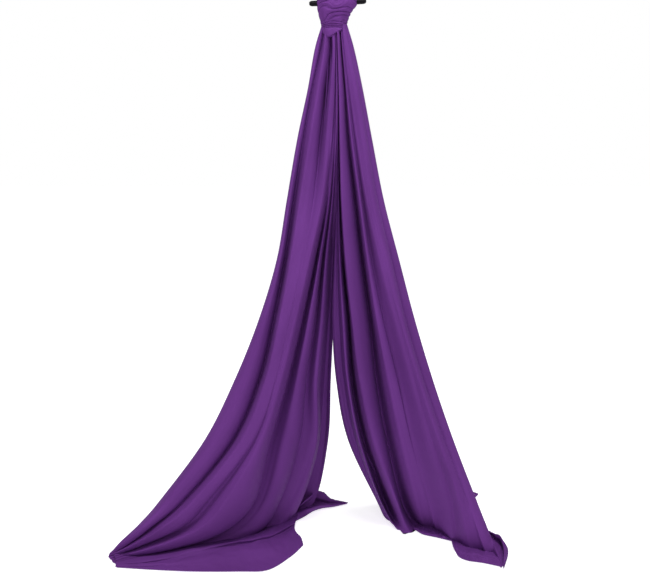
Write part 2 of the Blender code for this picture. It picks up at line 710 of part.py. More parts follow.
def swivel_axle(place):
    """Headed axle that carries the lower eye on the upper race, and the pin that locks them."""
    collar_top = -HOUSING_BOTTOM_DROP - SEAL_THICKNESS - 2 * SEAT_GAP
    head_top = -HOUSING_ROOF_DROP - AXLE_HEAD_ROOM
    head_bottom = head_top - AXLE_HEAD_THICKNESS
    foot = -EYE_SPACING + SHOULDER_DROP + COLLAR_FLOOR + SEAT_GAP
    outline = [
        (0, head_top),
        (AXLE_HEAD_RADIUS, head_top),
        (AXLE_HEAD_RADIUS, head_bottom),
        (AXLE_RADIUS, head_bottom),
        (AXLE_RADIUS, foot),
        (0, foot),
    ]
    axle = link("swivel_axle", turned("axle", outline, 20), place)
    axle.data.materials.append(dark_steel("swivel_axle"))
    pin_z = collar_top - CROSS_PIN_DROP
    hole = cylinder(
        "axle cross hole", CROSS_PIN_RADIUS + SEAT_GAP, 2 * AXLE_RADIUS + OVERRUN, (1, 0, 0),
        (0, 0, pin_z), BAR_SIDES,
    )
    combine(axle, link("axle cross hole", hole, place), "DIFFERENCE")
    reach = math.sqrt(HOUSING_RADIUS**2 - CROSS_PIN_RADIUS**2) - SEAT_GAP
    pin = cylinder("cross pin", CROSS_PIN_RADIUS, 2 * reach, (1, 0, 0), (0, 0, pin_z), BAR_SIDES)
    link("swivel_cross_pin", pin, place, dark_steel("swivel_cross_pin"))
    return head_bottom


def race_outline(inner, outer, face, away):
    """Half section of a race: a washer with a round groove. away is +1 or -1, its back's side."""
    groove_radius = BALL_RADIUS + SEAT_GAP
    half = math.sqrt(groove_radius**2 - RACE_STANDOFF**2)
    outline = [(inner, face), (BALL_PITCH_RADIUS - half, face)]
    start = math.asin(RACE_STANDOFF / groove_radius)
    steps = 4
    for step in range(1, steps):
        angle = math.pi - start - (math.pi - 2 * start) * step / steps
        rise = groove_radius * math.sin(angle) - RACE_STANDOFF
        outline.append((BALL_PITCH_RADIUS + groove_radius * math.cos(angle), face + away * rise))
    outline.append((BALL_PITCH_RADIUS + half, face))
    outline += [(outer, face), (outer, face + away * RACE_THICKNESS), (inner, face + away * RACE_THICKNESS)]
    return outline


def swivel_bearing(place, head_bottom):
    """Two races, their balls, and the screwed ring that holds them in the housing."""
    upper_face = head_bottom - SEAT_GAP - RACE_THICKNESS
    ball_z = upper_face - RACE_STANDOFF
    lower_face = ball_z - RACE_STANDOFF
    outer = HOUSING_CAVITY_RADIUS - SEAT_GAP
    running = AXLE_RADIUS + AXLE_HOLE_CLEARANCE
    upper = race_outline(AXLE_RADIUS + SEAT_GAP, outer - SEAT_GAP, upper_face, 1)
    lower = race_outline(running, outer, lower_face, -1)
    for name, outline in (("bearing_upper_race", upper), ("bearing_lower_race", lower)):
        link(name, turned(name, outline, ROUND_SIDES), place, dark_steel(name))
    for index in range(BALL_COUNT):
        angle = 2 * math.pi * index / BALL_COUNT
        x = BALL_PITCH_RADIUS * math.cos(angle)
        y = BALL_PITCH_RADIUS * math.sin(angle)
        bm = bmesh.new()
        bmesh.ops.create_icosphere(bm, subdivisions=2, radius=BALL_RADIUS)
        name = f"bearing_ball_{index + 1:02d}"
        ball = link(name, mesh_from(name, bm), place, steel(name), 60)
        ball.location = (x, y, ball_z)
    top = lower_face - RACE_THICKNESS - SEAT_GAP
    bottom = top - RETAINER_THICKNESS
    retainer = [(running, top), (outer, top), (outer, bottom), (running, bottom)]
    mesh = turned("retainer", retainer, ROUND_SIDES)
    link("swivel_retaining_ring", mesh, place, dark_steel("swivel_retaining_ring"))
    seal_top = -HOUSING_BOTTOM_DROP - SEAT_GAP
    seal_bottom = seal_top - SEAL_THICKNESS
    inner = AXLE_RADIUS + SEAT_GAP
    seal = [(inner, seal_top), (SEAL_RADIUS, seal_top), (SEAL_RADIUS, seal_bottom), (inner, seal_bottom)]
    link("swivel_seal", turned("seal", seal, ROUND_SIDES), place, black_rubber("swivel_seal"))


def swivel():
    place = swivel_place()
    swivel_housing(place)
    swivel_lower_eye(place)
    swivel_bearing(place, swivel_axle(place))


# Figure-eight

def eight_place():
    """The figure-eight's own axes, on the lower carabiner's bow and tilted as it hangs."""
    place = bpy.data.objects.new("figure eight place", None)
    bpy.context.scene.collection.objects.link(place)
    place.location = (0, 0, LOWER_BOTTOM_BOW_Z)
    place.rotation_euler = (0, -EIGHT_TILT, 0)
    return place


def eight_solid(name, place, grow):
    """The figure-eight with every surface moved out by grow, as a live union."""
    bar = EIGHT_BAR_RADIUS + grow
    large = ring("large ring", EIGHT_LARGE_RADIUS, bar, (0, 0, EIGHT_LARGE_Z), 32, BAR_SIDES)
    made = link(name, large, place)
    small = ring("small ring", EIGHT_SMALL_RADIUS, bar, (0, 0, EIGHT_SMALL_Z), 20, BAR_SIDES)
    combine(made, link(f"{name} small ring", small, place), "UNION")
    neck_low = EIGHT_LARGE_Z + EIGHT_LARGE_RADIUS
    neck_high = EIGHT_SMALL_Z - EIGHT_SMALL_RADIUS
    neck = cylinder(
        "neck", EIGHT_NECK_RADIUS + grow, neck_high - neck_low, (0, 0, 1),
        (0, 0, (neck_high + neck_low) / 2), 16,
    )
    combine(made, link(f"{name} neck", neck, place), "UNION")
    for side, label in ((-1, "left ear"), (1, "right ear")):
        root = side * EIGHT_LARGE_RADIUS
        tip = side * EIGHT_EAR_REACH
        round_off = side * EIGHT_EAR_TIP_RADIUS
        places = (root, tip - round_off, tip - round_off / 3, tip)
        radii = (
            EIGHT_EAR_ROOT_RADIUS + grow,
            EIGHT_EAR_TIP_RADIUS + grow,
            EIGHT_EAR_TIP_RADIUS * 0.8 + grow,
            EIGHT_EAR_TIP_RADIUS * 0.45 + grow,
        )
        ear = tube(label, [(x, 0, EIGHT_LARGE_Z) for x in places], radii)
        combine(made, link(f"{name} {label}", ear, place), "UNION")
    return made


def figure_eight():
    made = eight_solid("figure_eight", eight_place(), 0)
    made.data.materials.append(black_anodised("figure_eight"))


# Fabric

def fabric_place():
    """Axes level with the floor, at the large ring's centre."""
    place = bpy.data.objects.new("fabric place", None)
    bpy.context.scene.collection.objects.link(place)
    place.location = (RING_X, 0, RING_Z)
    return place


def curve_between(a, b, c, d, t):
    """A point on the smooth curve from b to c, which a and d lead into and out of."""
    slope = c - a
    bend = 2 * a - 5 * b + 4 * c - d
    twist = 3 * b - a - 3 * c + d
    return (2 * b + slope * t + bend * t**2 + twist * t**3) / 2


def smooth_path(points, count):
    """Evenly counted points on a smooth curve through the given ones."""
    points = [Vector(point) for point in points]
    padded = [2 * points[0] - points[1], *points, 2 * points[-1] - points[-2]]
    found = []
    spans = len(points) - 1
    for step in range(count):
        along = spans * step / (count - 1)
        span = min(int(along), spans - 1)
        found.append(curve_between(*padded[span:span + 4], along - span))
    return found


def fabric_loop(place):
    """The bight: two strands rise behind the large ring and meet in front of the neck."""
    half = (
        (LOOP_LEG_SPREAD, 0, -KNOT_TOP_DROP + SEAT_GAP),
        (LOOP_LEG_SPREAD, 0, -KNOT_TOP_DROP + LOOP_STRAND_RADIUS / 2),
        (LOOP_LEG_SPREAD, 0, -KNOT_TOP_DROP + LOOP_STRAND_RADIUS),
        (LOOP_LEG_SPREAD, LOOP_BACK_REACH * 0.55, LOOP_HEIGHT * 0.26),
        (LOOP_LEG_SPREAD, LOOP_BACK_REACH, LOOP_HEIGHT * 0.5),
        (LOOP_NECK_SPREAD * 0.75, LOOP_BACK_REACH * 0.97, LOOP_HEIGHT * 0.82),
        (LOOP_NECK_SPREAD, 0, LOOP_HEIGHT),
        (LOOP_NECK_SPREAD * 0.5, -LOOP_FRONT_REACH, LOOP_HEIGHT),
    )
    route = [(-x, y, z) for x, y, z in half]
    route += [(x, y, z) for x, y, z in reversed(half)]
    points = smooth_path(route, LOOP_POINTS)
    mesh = tube("loop", points, [LOOP_STRAND_RADIUS] * len(points))
    link("fabric_loop", mesh, place, purple_fabric("fabric_loop"), 60)


def fabric_knot(place):
    """The bunched wraps, hollowed where the ring runs through and where the tails turn."""
    skirt = TAIL_PIVOT_DROP - KNOT_SKIRT_RISE
    height = skirt - KNOT_TOP_DROP
    levels = []
    for down, wide, deep, offset in KNOT_LEVEL_SHARES:
        z = -KNOT_TOP_DROP - height * down
        points = []
        for step in range(KNOT_SIDES):
            angle = 2 * math.pi * step / KNOT_SIDES
            wave = math.cos(KNOT_WRAPS * (angle + 2 * math.pi * KNOT_TWIST_TURNS * down))
            x = (KNOT_HALF_WIDTH * wide + KNOT_WRAP_DEPTH * (wave - 1) / 2) * math.cos(angle)
            y = (KNOT_HALF_DEPTH * deep + KNOT_WRAP_DEPTH * (wave - 1) / 2) * math.sin(angle)
            points.append((x + KNOT_HALF_WIDTH * offset, y, z))
        levels.append(points)
    knot = link("fabric_knot", loft("knot", levels), place, purple_fabric("fabric_knot"), 60)
    cutter = eight_solid("ring channel", bpy.data.objects["figure eight place"], SEAT_GAP)
    combine(knot, cutter, "DIFFERENCE")
    socket_sides = 36
    radius = TAIL_TOP_RADIUS / math.cos(math.pi / socket_sides) + SEAT_GAP
    for side, label in ((-1, "left socket"), (1, "right socket")):
        x = TAIL_MEETING_OFFSET - RING_X + side * PIVOT_SPREAD
        socket = cylinder(
            label, radius, 4 * KNOT_HALF_DEPTH, (0, 1, 0), (x, 0, -TAIL_PIVOT_DROP), socket_sides
        )
        combine(knot, link(label, socket, place), "DIFFERENCE")


def fold_line(folds, down):
    """The crests and valleys of one side at a level: (share across, stand)."""
    return [(top + (foot - top) * down, stand) for top, foot, stand in folds]


def tail_ring(level, front_folds, size):
    """One closed ring around a tail, from its outer edge across the front and back behind."""
    down, outer, inner, outer_forward, inner_back, front, back = level
    side, reach, forward, backward, front_reach, back_reach = size
    outer_edge = Vector((side * outer * reach, -outer_forward * forward))
    inner_edge = Vector((side * (inner * reach + SEAT_GAP), inner_back * backward))
    guides = [outer_edge]
    for folds, depth in ((front_folds, -front * front_reach), (BACK_FOLD_SHARES, back * back_reach)):
        for across, stand in fold_line(folds, down):
            guides.append(outer_edge.lerp(inner_edge, across) + Vector((0, depth * stand)))
        if folds is front_folds:
            guides.append(inner_edge)
    count = len(guides)
    low = min(outer_edge.x, inner_edge.x)
    high = max(outer_edge.x, inner_edge.x)
    points = []
    for index in range(count):
        near = [guides[(index + k) % count] for k in (-1, 0, 1, 2)]
        steps = FRONT_STEPS_PER_FOLD if index <= len(front_folds) else BACK_STEPS_PER_FOLD
        for step in range(steps):
            at = curve_between(*near, step / steps)
            points.append((min(max(at.x, low), high), at.y, -TAIL_DROP * down))
    return points


def dome_ring(first, side, angle):
    """The tail's top ring drawn in to a round about the pivot's Y axis."""
    narrow = math.cos(angle)
    centre = side * PIVOT_SPREAD
    rise = TAIL_TOP_RADIUS * math.sin(angle)
    shallow = (1 + narrow) / 2
    return [(centre + (x - centre) * narrow, y * shallow, rise) for x, y, _ in first]


def tail(name, levels, front_folds, size):
    """One half of the fabric, hung on a pivot inside the knot."""
    side = size[0]
    pivot = bpy.data.objects.new(f"{name} pivot", None)
    bpy.context.scene.collection.objects.link(pivot)
    pivot.location = (TAIL_MEETING_OFFSET + side * PIVOT_SPREAD, 0, PIVOT_Z)
    rings = [tail_ring(level, front_folds, size) for level in levels]
    domes = [dome_ring(rings[0], side, math.radians(angle)) for angle in TAIL_DOME_ANGLES]
    shift = -side * PIVOT_SPREAD
    moved = [[(x + shift, y, z) for x, y, z in points] for points in domes + rings]
    return link(name, loft(name, moved), pivot, purple_fabric(name), 70), pivot


def far_end(pivot):
    """The left tail's twisted corner, which runs back along the floor behind the gap."""
    start = Vector((PIVOT_SPREAD - FAR_END_START_IN, FAR_END_START_BACK, -TAIL_DROP))
    end = Vector((PIVOT_SPREAD + FAR_END_REACH, FAR_END_BACK, -TAIL_DROP))
    points = []
    radii = []
    for share, swell in FAR_END_SHARES:
        radius = FAR_END_RADIUS * swell
        points.append(start.lerp(end, share) + Vector((0, 0, radius)))
        radii.append(radius)
    return link("left far end", tube("far end", points, radii), pivot)


def floor_flap(label, pivot, outline, size, forward):
    """The cloth that lies flat on the floor in front of a tail."""
    side, reach = size[:2]
    points = [(side * (x * reach - PIVOT_SPREAD), -y * forward) for x, y in outline]
    levels = [[(x, y, z) for x, y in points] for z in (-TAIL_DROP, -TAIL_DROP + FLAP_HEIGHT)]
    return link(label, loft(label, levels), pivot)


def tails():
    size = (-1, LEFT_REACH, LEFT_OUTER_FORWARD, LEFT_INNER_BACK, LEFT_FRONT_REACH, LEFT_BACK_REACH)
    left, pivot = tail("left_tail", LEFT_LEVEL_SHARES, LEFT_FRONT_FOLD_SHARES, size)
    combine(left, far_end(pivot), "UNION")
    flap = floor_flap("left flap", pivot, LEFT_FLAP_SHARES, size, LEFT_FLAP_FORWARD)
    combine(left, flap, "UNION")
    size = (
        1, RIGHT_REACH, RIGHT_OUTER_FORWARD, RIGHT_INNER_BACK, RIGHT_FRONT_REACH, RIGHT_BACK_REACH,
    )
    right, pivot = tail("right_tail", RIGHT_LEVEL_SHARES, RIGHT_FRONT_FOLD_SHARES, size)
    flap = floor_flap("right flap", pivot, RIGHT_FLAP_SHARES, size, RIGHT_FLAP_FORWARD)
    combine(right, flap, "UNION")


def build():
    clear_scene()
    carabiner("upper", UPPER_CARABINER_Z, 0)
    swivel()
    carabiner("lower", LOWER_CARABINER_Z, math.pi)
    figure_eight()
    place = fabric_place()
    fabric_loop(place)
    fabric_knot(place)
    tails()


build()
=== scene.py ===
"""Aerial silks in purple tricot, hitched to a black figure-eight under a swivel and two carabiners.

The steel and the figure-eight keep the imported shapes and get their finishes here. The fabric's
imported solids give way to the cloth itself: the loop, the knot's wraps and two long gathered tails.
"""
import math

import bmesh
import bpy
from mathutils import Matrix, Vector, noise


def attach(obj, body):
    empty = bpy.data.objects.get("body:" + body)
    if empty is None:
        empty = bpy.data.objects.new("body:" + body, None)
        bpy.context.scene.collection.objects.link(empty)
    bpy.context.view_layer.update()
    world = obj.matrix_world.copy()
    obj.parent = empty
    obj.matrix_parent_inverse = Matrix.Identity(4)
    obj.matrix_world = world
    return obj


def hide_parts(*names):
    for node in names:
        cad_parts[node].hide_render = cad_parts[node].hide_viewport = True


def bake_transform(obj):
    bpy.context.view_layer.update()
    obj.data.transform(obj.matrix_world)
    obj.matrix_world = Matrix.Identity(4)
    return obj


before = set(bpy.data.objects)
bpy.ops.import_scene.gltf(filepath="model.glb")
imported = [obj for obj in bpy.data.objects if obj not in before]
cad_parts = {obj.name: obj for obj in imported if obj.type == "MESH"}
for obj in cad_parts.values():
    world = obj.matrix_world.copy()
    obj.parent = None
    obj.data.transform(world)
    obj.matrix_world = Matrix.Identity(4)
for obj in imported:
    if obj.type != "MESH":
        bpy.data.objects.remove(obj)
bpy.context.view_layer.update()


# Two screw-gate carabiners, one that hangs from the anchor and one under the swivel. Forged steel
# bar, zinc plated and tumbled, with a turned gate and a knurled sleeve that screws along it. The
# pins, plungers and coils inside are plain hardened steel.

PLATED_STEEL = (0.50, 0.51, 0.52)
PLATED_STEEL_SHADE = (0.36, 0.37, 0.39)
HARDENED_STEEL = (0.20, 0.20, 0.21)
HARDENED_STEEL_SHADE = (0.13, 0.13, 0.14)
CARABINER_ROUGHNESS = (0.24, 0.38)
PIN_ROUGHNESS = (0.30, 0.45)
STEEL_GRAIN = 240
STEEL_DETAIL = 8
STEEL_ROUGHNESS_GRAIN = 320
SCRATCH_GRAINS = (1900, 1900, 160)
SCRATCH_DETAIL = 4
SCRATCH_STRENGTH = 0.18
SCRATCH_DEPTH = 0.00008
ROUGHNESS_DETAIL = 5

# The part of the noise that a colour or a roughness goes over its whole range in.
COLOUR_NOISE = (0.32, 0.68)
ROUGHNESS_NOISE = (0.3, 0.7)


def new_finish(name):
    """An empty finish: its node tree, its shader and the object's own coordinates."""
    made = bpy.data.materials.new(name)
    made.use_nodes = True
    tree = made.node_tree
    return made, tree, tree.nodes["Principled BSDF"], tree.nodes.new("ShaderNodeTexCoord")


def grained(tree, where, scale, detail):
    """Fine noise over a surface, scale being its grains to a metre."""
    grains = tree.nodes.new("ShaderNodeTexNoise")
    grains.inputs["Scale"].default_value = scale
    grains.inputs["Detail"].default_value = detail
    tree.links.new(where, grains.inputs["Vector"])
    return grains.outputs["Fac"]


def mottled(tree, where, scale, detail, shade, colour):
    """Fine noise blended between two colours."""
    ramp = tree.nodes.new("ShaderNodeValToRGB")
    for stop, place, tone in zip(ramp.color_ramp.elements, COLOUR_NOISE, (shade, colour)):
        stop.position = place
        stop.color = (*tone, 1)
    tree.links.new(grained(tree, where, scale, detail), ramp.inputs["Fac"])
    return ramp.outputs["Color"]


def ranged(tree, number, limits, new_limits):
    """A number that lies between two limits, moved to lie between two others."""
    ranging = tree.nodes.new("ShaderNodeMapRange")
    ends = ("From Min", "From Max", "To Min", "To Max")
    for end, value in zip(ends, (*limits, *new_limits)):
        ranging.inputs[end].default_value = value
    tree.links.new(number, ranging.inputs["Value"])
    return ranging.outputs["Result"]


def varied(tree, where, scale, limits):
    """Fine noise turned into a roughness between two limits."""
    return ranged(tree, grained(tree, where, scale, ROUGHNESS_DETAIL), ROUGHNESS_NOISE, limits)


def stretched(tree, where, scale):
    """Coordinates drawn out along one way, for brushing and scratches."""
    mapping = tree.nodes.new("ShaderNodeMapping")
    mapping.inputs["Scale"].default_value = scale
    tree.links.new(where, mapping.inputs["Vector"])
    return mapping.outputs["Vector"]


def raised(tree, height, shader, strength, depth):
    """Relief too fine for the mesh."""
    bump = tree.nodes.new("ShaderNodeBump")
    bump.inputs["Strength"].default_value = strength
    bump.inputs["Distance"].default_value = depth
    tree.links.new(height, bump.inputs["Height"])
    tree.links.new(bump.outputs["Normal"], shader.inputs["Normal"])


def steel(name, shade, colour, roughness):
    """Bare or plated steel with a tumbled surface and faint lengthwise scratches."""
    made, tree, shader, where = new_finish(name)
    shader.inputs["Metallic"].default_value = 1
    place = where.outputs["Object"]
    tumbled = mottled(tree, place, STEEL_GRAIN, STEEL_DETAIL, shade, colour)
    tree.links.new(tumbled, shader.inputs["Base Color"])
    dulled = varied(tree, place, STEEL_ROUGHNESS_GRAIN, roughness)
    tree.links.new(dulled, shader.inputs["Roughness"])
    scratches = grained(tree, stretched(tree, place, SCRATCH_GRAINS), 1, SCRATCH_DETAIL)
    raised(tree, scratches, shader, SCRATCH_STRENGTH, SCRATCH_DEPTH)
    return made


def dress(node, finish):
    """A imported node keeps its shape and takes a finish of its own."""
    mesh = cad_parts[node].data
    mesh.materials.clear()
    mesh.materials.append(finish)


for rank in ("upper", "lower"):
    for part in ("frame", "gate", "sleeve"):
        name = f"{rank}_carabiner_{part}"
        dress(name, steel(name, PLATED_STEEL_SHADE, PLATED_STEEL, CARABINER_ROUGHNESS))
    for part in ("hinge_pin", "latch_pin", "plunger", "gate_spring"):
        name = f"{rank}_carabiner_{part}"
        dress(name, steel(name, HARDENED_STEEL_SHADE, HARDENED_STEEL, PIN_ROUGHNESS))


# Ball-bearing swivel. Two forged and plated eyes, ground races, polished balls, and a thin rubber
# seal where the lower eye turns against the housing.

POLISHED_BALL = (0.62, 0.63, 0.64)
POLISHED_BALL_SHADE = (0.55, 0.56, 0.57)
SEAL_BLACK = (0.014, 0.014, 0.015)
SEAL_GREY = (0.030, 0.030, 0.031)
SWIVEL_EYE_ROUGHNESS = (0.22, 0.36)
AXLE_ROUGHNESS = (0.28, 0.42)
RACE_ROUGHNESS = (0.18, 0.30)
BALL_ROUGHNESS = (0.08, 0.16)
SEAL_ROUGHNESS = (0.62, 0.8)
SEAL_GRAIN = 420
SEAL_DETAIL = 6
SEAL_ROUGHNESS_GRAIN = 600

for name in ("swivel_housing", "swivel_lower_eye"):
    dress(name, steel(name, PLATED_STEEL_SHADE, PLATED_STEEL, SWIVEL_EYE_ROUGHNESS))
for name in ("swivel_axle", "swivel_cross_pin", "swivel_retaining_ring"):
    dress(name, steel(name, HARDENED_STEEL_SHADE, HARDENED_STEEL, AXLE_ROUGHNESS))
for name in ("bearing_upper_race", "bearing_lower_race"):
    dress(name, steel(name, HARDENED_STEEL_SHADE, HARDENED_STEEL, RACE_ROUGHNESS))
for name in sorted(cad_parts):
    if name.startswith("bearing_ball"):
        dress(name, steel(name, POLISHED_BALL_SHADE, POLISHED_BALL, BALL_ROUGHNESS))

seal_rubber, seal_tree, seal_shader, seal_where = new_finish("seal_rubber")
seal_place = seal_where.outputs["Object"]
seal_colour = mottled(seal_tree, seal_place, SEAL_GRAIN, SEAL_DETAIL, SEAL_BLACK, SEAL_GREY)
seal_tree.links.new(seal_colour, seal_shader.inputs["Base Color"])
seal_rough = varied(seal_tree, seal_place, SEAL_ROUGHNESS_GRAIN, SEAL_ROUGHNESS)
seal_tree.links.new(seal_rough, seal_shader.inputs["Roughness"])
dress("swivel_seal", seal_rubber)


# Figure-eight with two ears. Forged aluminium, black anodised, dulled by the fabric that runs over
# it, with the anodising thinner where carabiner and cloth rub.

ANODISED_BLACK = (0.0030, 0.0022, 0.0042)
ANODISED_WORN = (0.0070, 0.0058, 0.0085)
ANODISED_ROUGHNESS = (0.5, 0.7)
ANODISED_SPECULAR = 0.06
WEAR_GRAIN = 60
WEAR_DETAIL = 9
ANODISED_ROUGHNESS_GRAIN = 140
SCUFF_GRAINS = (260, 900, 900)
SCUFF_DETAIL = 5
SCUFF_STRENGTH = 0.15
SCUFF_DEPTH = 0.0001

anodised, eight_tree, eight_shader, eight_where = new_finish("figure_eight")
eight_place = eight_where.outputs["Object"]
eight_colour = mottled(
    eight_tree, eight_place, WEAR_GRAIN, WEAR_DETAIL, ANODISED_BLACK, ANODISED_WORN
)
eight_tree.links.new(eight_colour, eight_shader.inputs["Base Color"])
eight_rough = varied(eight_tree, eight_place, ANODISED_ROUGHNESS_GRAIN, ANODISED_ROUGHNESS)
eight_tree.links.new(eight_rough, eight_shader.inputs["Roughness"])
eight_shader.inputs["Specular IOR Level"].default_value = ANODISED_SPECULAR
scuffs = grained(eight_tree, stretched(eight_tree, eight_place, SCUFF_GRAINS), 1, SCUFF_DETAIL)
raised(eight_tree, scuffs, eight_shader, SCUFF_STRENGTH, SCUFF_DEPTH)
dress("figure_eight", anodised)


# The bight of the fabric over the figure-eight's neck. Two-way stretch tricot, a fine warp knit. Both
# layers are gathered to a rope as thick as a thumb, which comes up through the large ring, passes
# behind the ring's top, goes round the neck and comes down the same way.

# The tricot's dye is even, with a faint cloudiness, its sheen is soft and low, and the knit's ribs
# run along the fabric. Bands of a wave repeat every WAVE_LENGTH at a scale of 1.
TRICOT_PURPLE = (0.118, 0.032, 0.190)
TRICOT_SHADE = (0.094, 0.025, 0.152)
CLOUDS_PER_METRE = (7, 3, 1)
CLOUD_DETAIL = 6
TRICOT_ROUGHNESS = (0.56, 0.70)
TRICOT_ROUGHNESS_GRAIN = 60
TRICOT_SPECULAR = 0.03
TRICOT_SHEEN = 0.03
TRICOT_SHEEN_ROUGHNESS = 0.45
TRICOT_SHEEN_TINT = (0.42, 0.20, 0.60, 1)
WAVE_LENGTH = math.pi / 10
KNIT_RIBS_PER_METRE = 1500
KNIT_ROWS_PER_METRE = 1100
KNIT_WAVER = 0.6
KNIT_STRENGTH = 0.25
KNIT_DEPTH = 0.00012

# The rope's size, its pleats and how they twist and slide round it.
LOOP_CLOTH_SIZE = (1.5, 0.3)
LOOP_STRAND_RADIUS = 0.0098
LOOP_PLEATS = 9
LOOP_PLEAT_DEPTH_SHARE = 0.30
LOOP_PLEAT_PINCH = 0.6
LOOP_TWIST = 4
LOOP_SLIDE = 0.9
LOOP_SLIDES_ROUND = 1.5
LOOP_SLIDES_ALONG = 9
LOOP_COLUMNS = 144
LOOP_STEPS = 170
LOOP_AHEAD = 0.004
SEAM_GAP = 0.00001

# Half of the rope's way, from inside the ring to the neck's front, measured from the ring's centre.
RING_CENTRE = Vector((0.00404, 0, -0.36151))
LOOP_HALF_ROUTE = (
    (0.013, 0, -0.012),
    (0.013, 0, 0.0042),
    (0.013, 0.0118, 0.0150),
    (0.013, 0.0215, 0.0287),
    (0.0232, 0.0209, 0.0471),
    (0.031, 0, 0.0575),
    (0.0155, -0.0205, 0.0575),
)


def knit_waves(tree, knit, way):
    """The ridges of the knit across the cloth or along it."""
    waves = tree.nodes.new("ShaderNodeTexWave")
    waves.bands_direction = way
    waves.inputs["Scale"].default_value = 1
    waves.inputs["Distortion"].default_value = KNIT_WAVER
    tree.links.new(knit, waves.inputs["Vector"])
    return waves.outputs["Fac"]


def reckoned(tree, operation, first, second):
    """Two numbers made into one."""
    reckoning = tree.nodes.new("ShaderNodeMath")
    reckoning.operation = operation
    tree.links.new(first, reckoning.inputs[0])
    tree.links.new(second, reckoning.inputs[1])
    return reckoning.outputs["Value"]


def tricot(name):
    """Purple tricot whose knit follows the cloth's own map, laid out in metres."""
    made, tree, shader, where = new_finish(name)
    cloth = where.outputs["UV"]
    cloudy = stretched(tree, cloth, CLOUDS_PER_METRE)
    dyed = mottled(tree, cloudy, 1, CLOUD_DETAIL, TRICOT_SHADE, TRICOT_PURPLE)
    tree.links.new(dyed, shader.inputs["Base Color"])
    soft = varied(tree, cloth, TRICOT_ROUGHNESS_GRAIN, TRICOT_ROUGHNESS)
    tree.links.new(soft, shader.inputs["Roughness"])
    shader.inputs["Specular IOR Level"].default_value = TRICOT_SPECULAR
    shader.inputs["Sheen Weight"].default_value = TRICOT_SHEEN
    shader.inputs["Sheen Roughness"].default_value = TRICOT_SHEEN_ROUGHNESS
    shader.inputs["Sheen Tint"].default_value = TRICOT_SHEEN_TINT
    knit_scale = (KNIT_RIBS_PER_METRE * WAVE_LENGTH, KNIT_ROWS_PER_METRE * WAVE_LENGTH, 1)
    knit = stretched(tree, cloth, knit_scale)
    ribs, rows = knit_waves(tree, knit, "X"), knit_waves(tree, knit, "Y")
    raised(tree, reckoned(tree, "MULTIPLY", ribs, rows), shader, KNIT_STRENGTH, KNIT_DEPTH)
    return made


def laid_grid(across, along, size, place):
    """A grid of cloth, mapped in metres, whose every point goes where place(u, v) says."""
    bm = bmesh.new()
    bmesh.ops.create_grid(bm, x_segments=across, y_segments=along, size=0.5, calc_uvs=True)
    layer = bm.loops.layers.uv.verify()
    for face in bm.faces:
        face.smooth = True
        for loop in face.loops:
            u, v = loop.vert.co.x + 0.5, loop.vert.co.y + 0.5
            loop[layer].uv = (u * size[0], v * size[1])
    for vert in bm.verts:
        vert.co = place(vert.co.x + 0.5, vert.co.y + 0.5)
    return bm


def join_edges(bm):
    """Closes a tube of cloth along its seam, with its faces outwards."""
    bmesh.ops.remove_doubles(bm, verts=bm.verts, dist=SEAM_GAP)
    bmesh.ops.recalc_face_normals(bm, faces=bm.faces)


def show(name, bm, finish):
    """A finished mesh becomes an object of the scene."""
    mesh = bpy.data.meshes.new(name)
    bm.to_mesh(mesh)
    bm.free()
    mesh.materials.append(finish)
    made = bpy.data.objects.new(name, mesh)
    bpy.context.scene.collection.objects.link(made)
    return made


def between(a, b, c, d, t):
    """A point on the smooth curve from b to c, which a and d lead into and out of."""
    square = 2 * a - 5 * b + 4 * c - d
    cube = 3 * b - a - 3 * c + d
    return (2 * b + (c - a) * t + square * t**2 + cube * t**3) / 2


def along_curve(points, share):
    """The point at a share of the way along a smooth curve through the given ones."""
    spans = len(points) - 1
    at = min(max(share, 0), 1) * spans
    span = min(int(at), spans - 1)
    first = points[span - 1] if span else 2 * points[0] - points[1]
    last = points[span + 2] if span + 2 <= spans else 2 * points[-1] - points[-2]
    return between(first, points[span], points[span + 1], last, at - span)


loop_route = [RING_CENTRE + Vector((-x, y, z)) for x, y, z in LOOP_HALF_ROUTE]
loop_route += [RING_CENTRE + Vector((x, y, z)) for x, y, z in reversed(LOOP_HALF_ROUTE)]
loop_frames = []
loop_side = Vector((0, 1, 0))
for step in range(LOOP_STEPS + 1):
    here = along_curve(loop_route, step / LOOP_STEPS)
    ahead = along_curve(loop_route, min(step / LOOP_STEPS + LOOP_AHEAD, 1))
    behind = along_curve(loop_route, max(step / LOOP_STEPS - LOOP_AHEAD, 0))
    way = (ahead - behind).normalized()
    loop_side = (loop_side - way * loop_side.dot(way)).normalized()
    loop_frames.append((here, loop_side.copy(), way.cross(loop_side)))


def loop_point(u, v):
    """A point of the gathered rope: u goes round it, and v along it."""
    here, side, other = loop_frames[round(v * LOOP_STEPS)]
    turn = 2 * math.pi * u
    round_x, round_y = math.cos(turn) * LOOP_SLIDES_ROUND, math.sin(turn) * LOOP_SLIDES_ROUND
    slide = LOOP_SLIDE * noise.noise((round_x, round_y, v * LOOP_SLIDES_ALONG))
    pleat = abs(math.sin(LOOP_PLEATS * turn / 2 + LOOP_TWIST * v + slide)) ** LOOP_PLEAT_PINCH
    radius = LOOP_STRAND_RADIUS * (1 - LOOP_PLEAT_DEPTH_SHARE * (1 - pleat))
    return here + side * (radius * math.cos(turn)) + other * (radius * math.sin(turn))


loop_bm = laid_grid(LOOP_COLUMNS, LOOP_STEPS, LOOP_CLOTH_SIZE, loop_point)
join_edges(loop_bm)
loop_cloth = show("loop_cloth", loop_bm, tricot("loop_cloth"))
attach(loop_cloth, "figure_eight")
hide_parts("fabric_loop")


# The knot: the fabric's wraps drawn tight round the large ring's lower half and round the two
# tails. Slanting wraps above, a tight level turn at the waist, and a lip that points down in front.

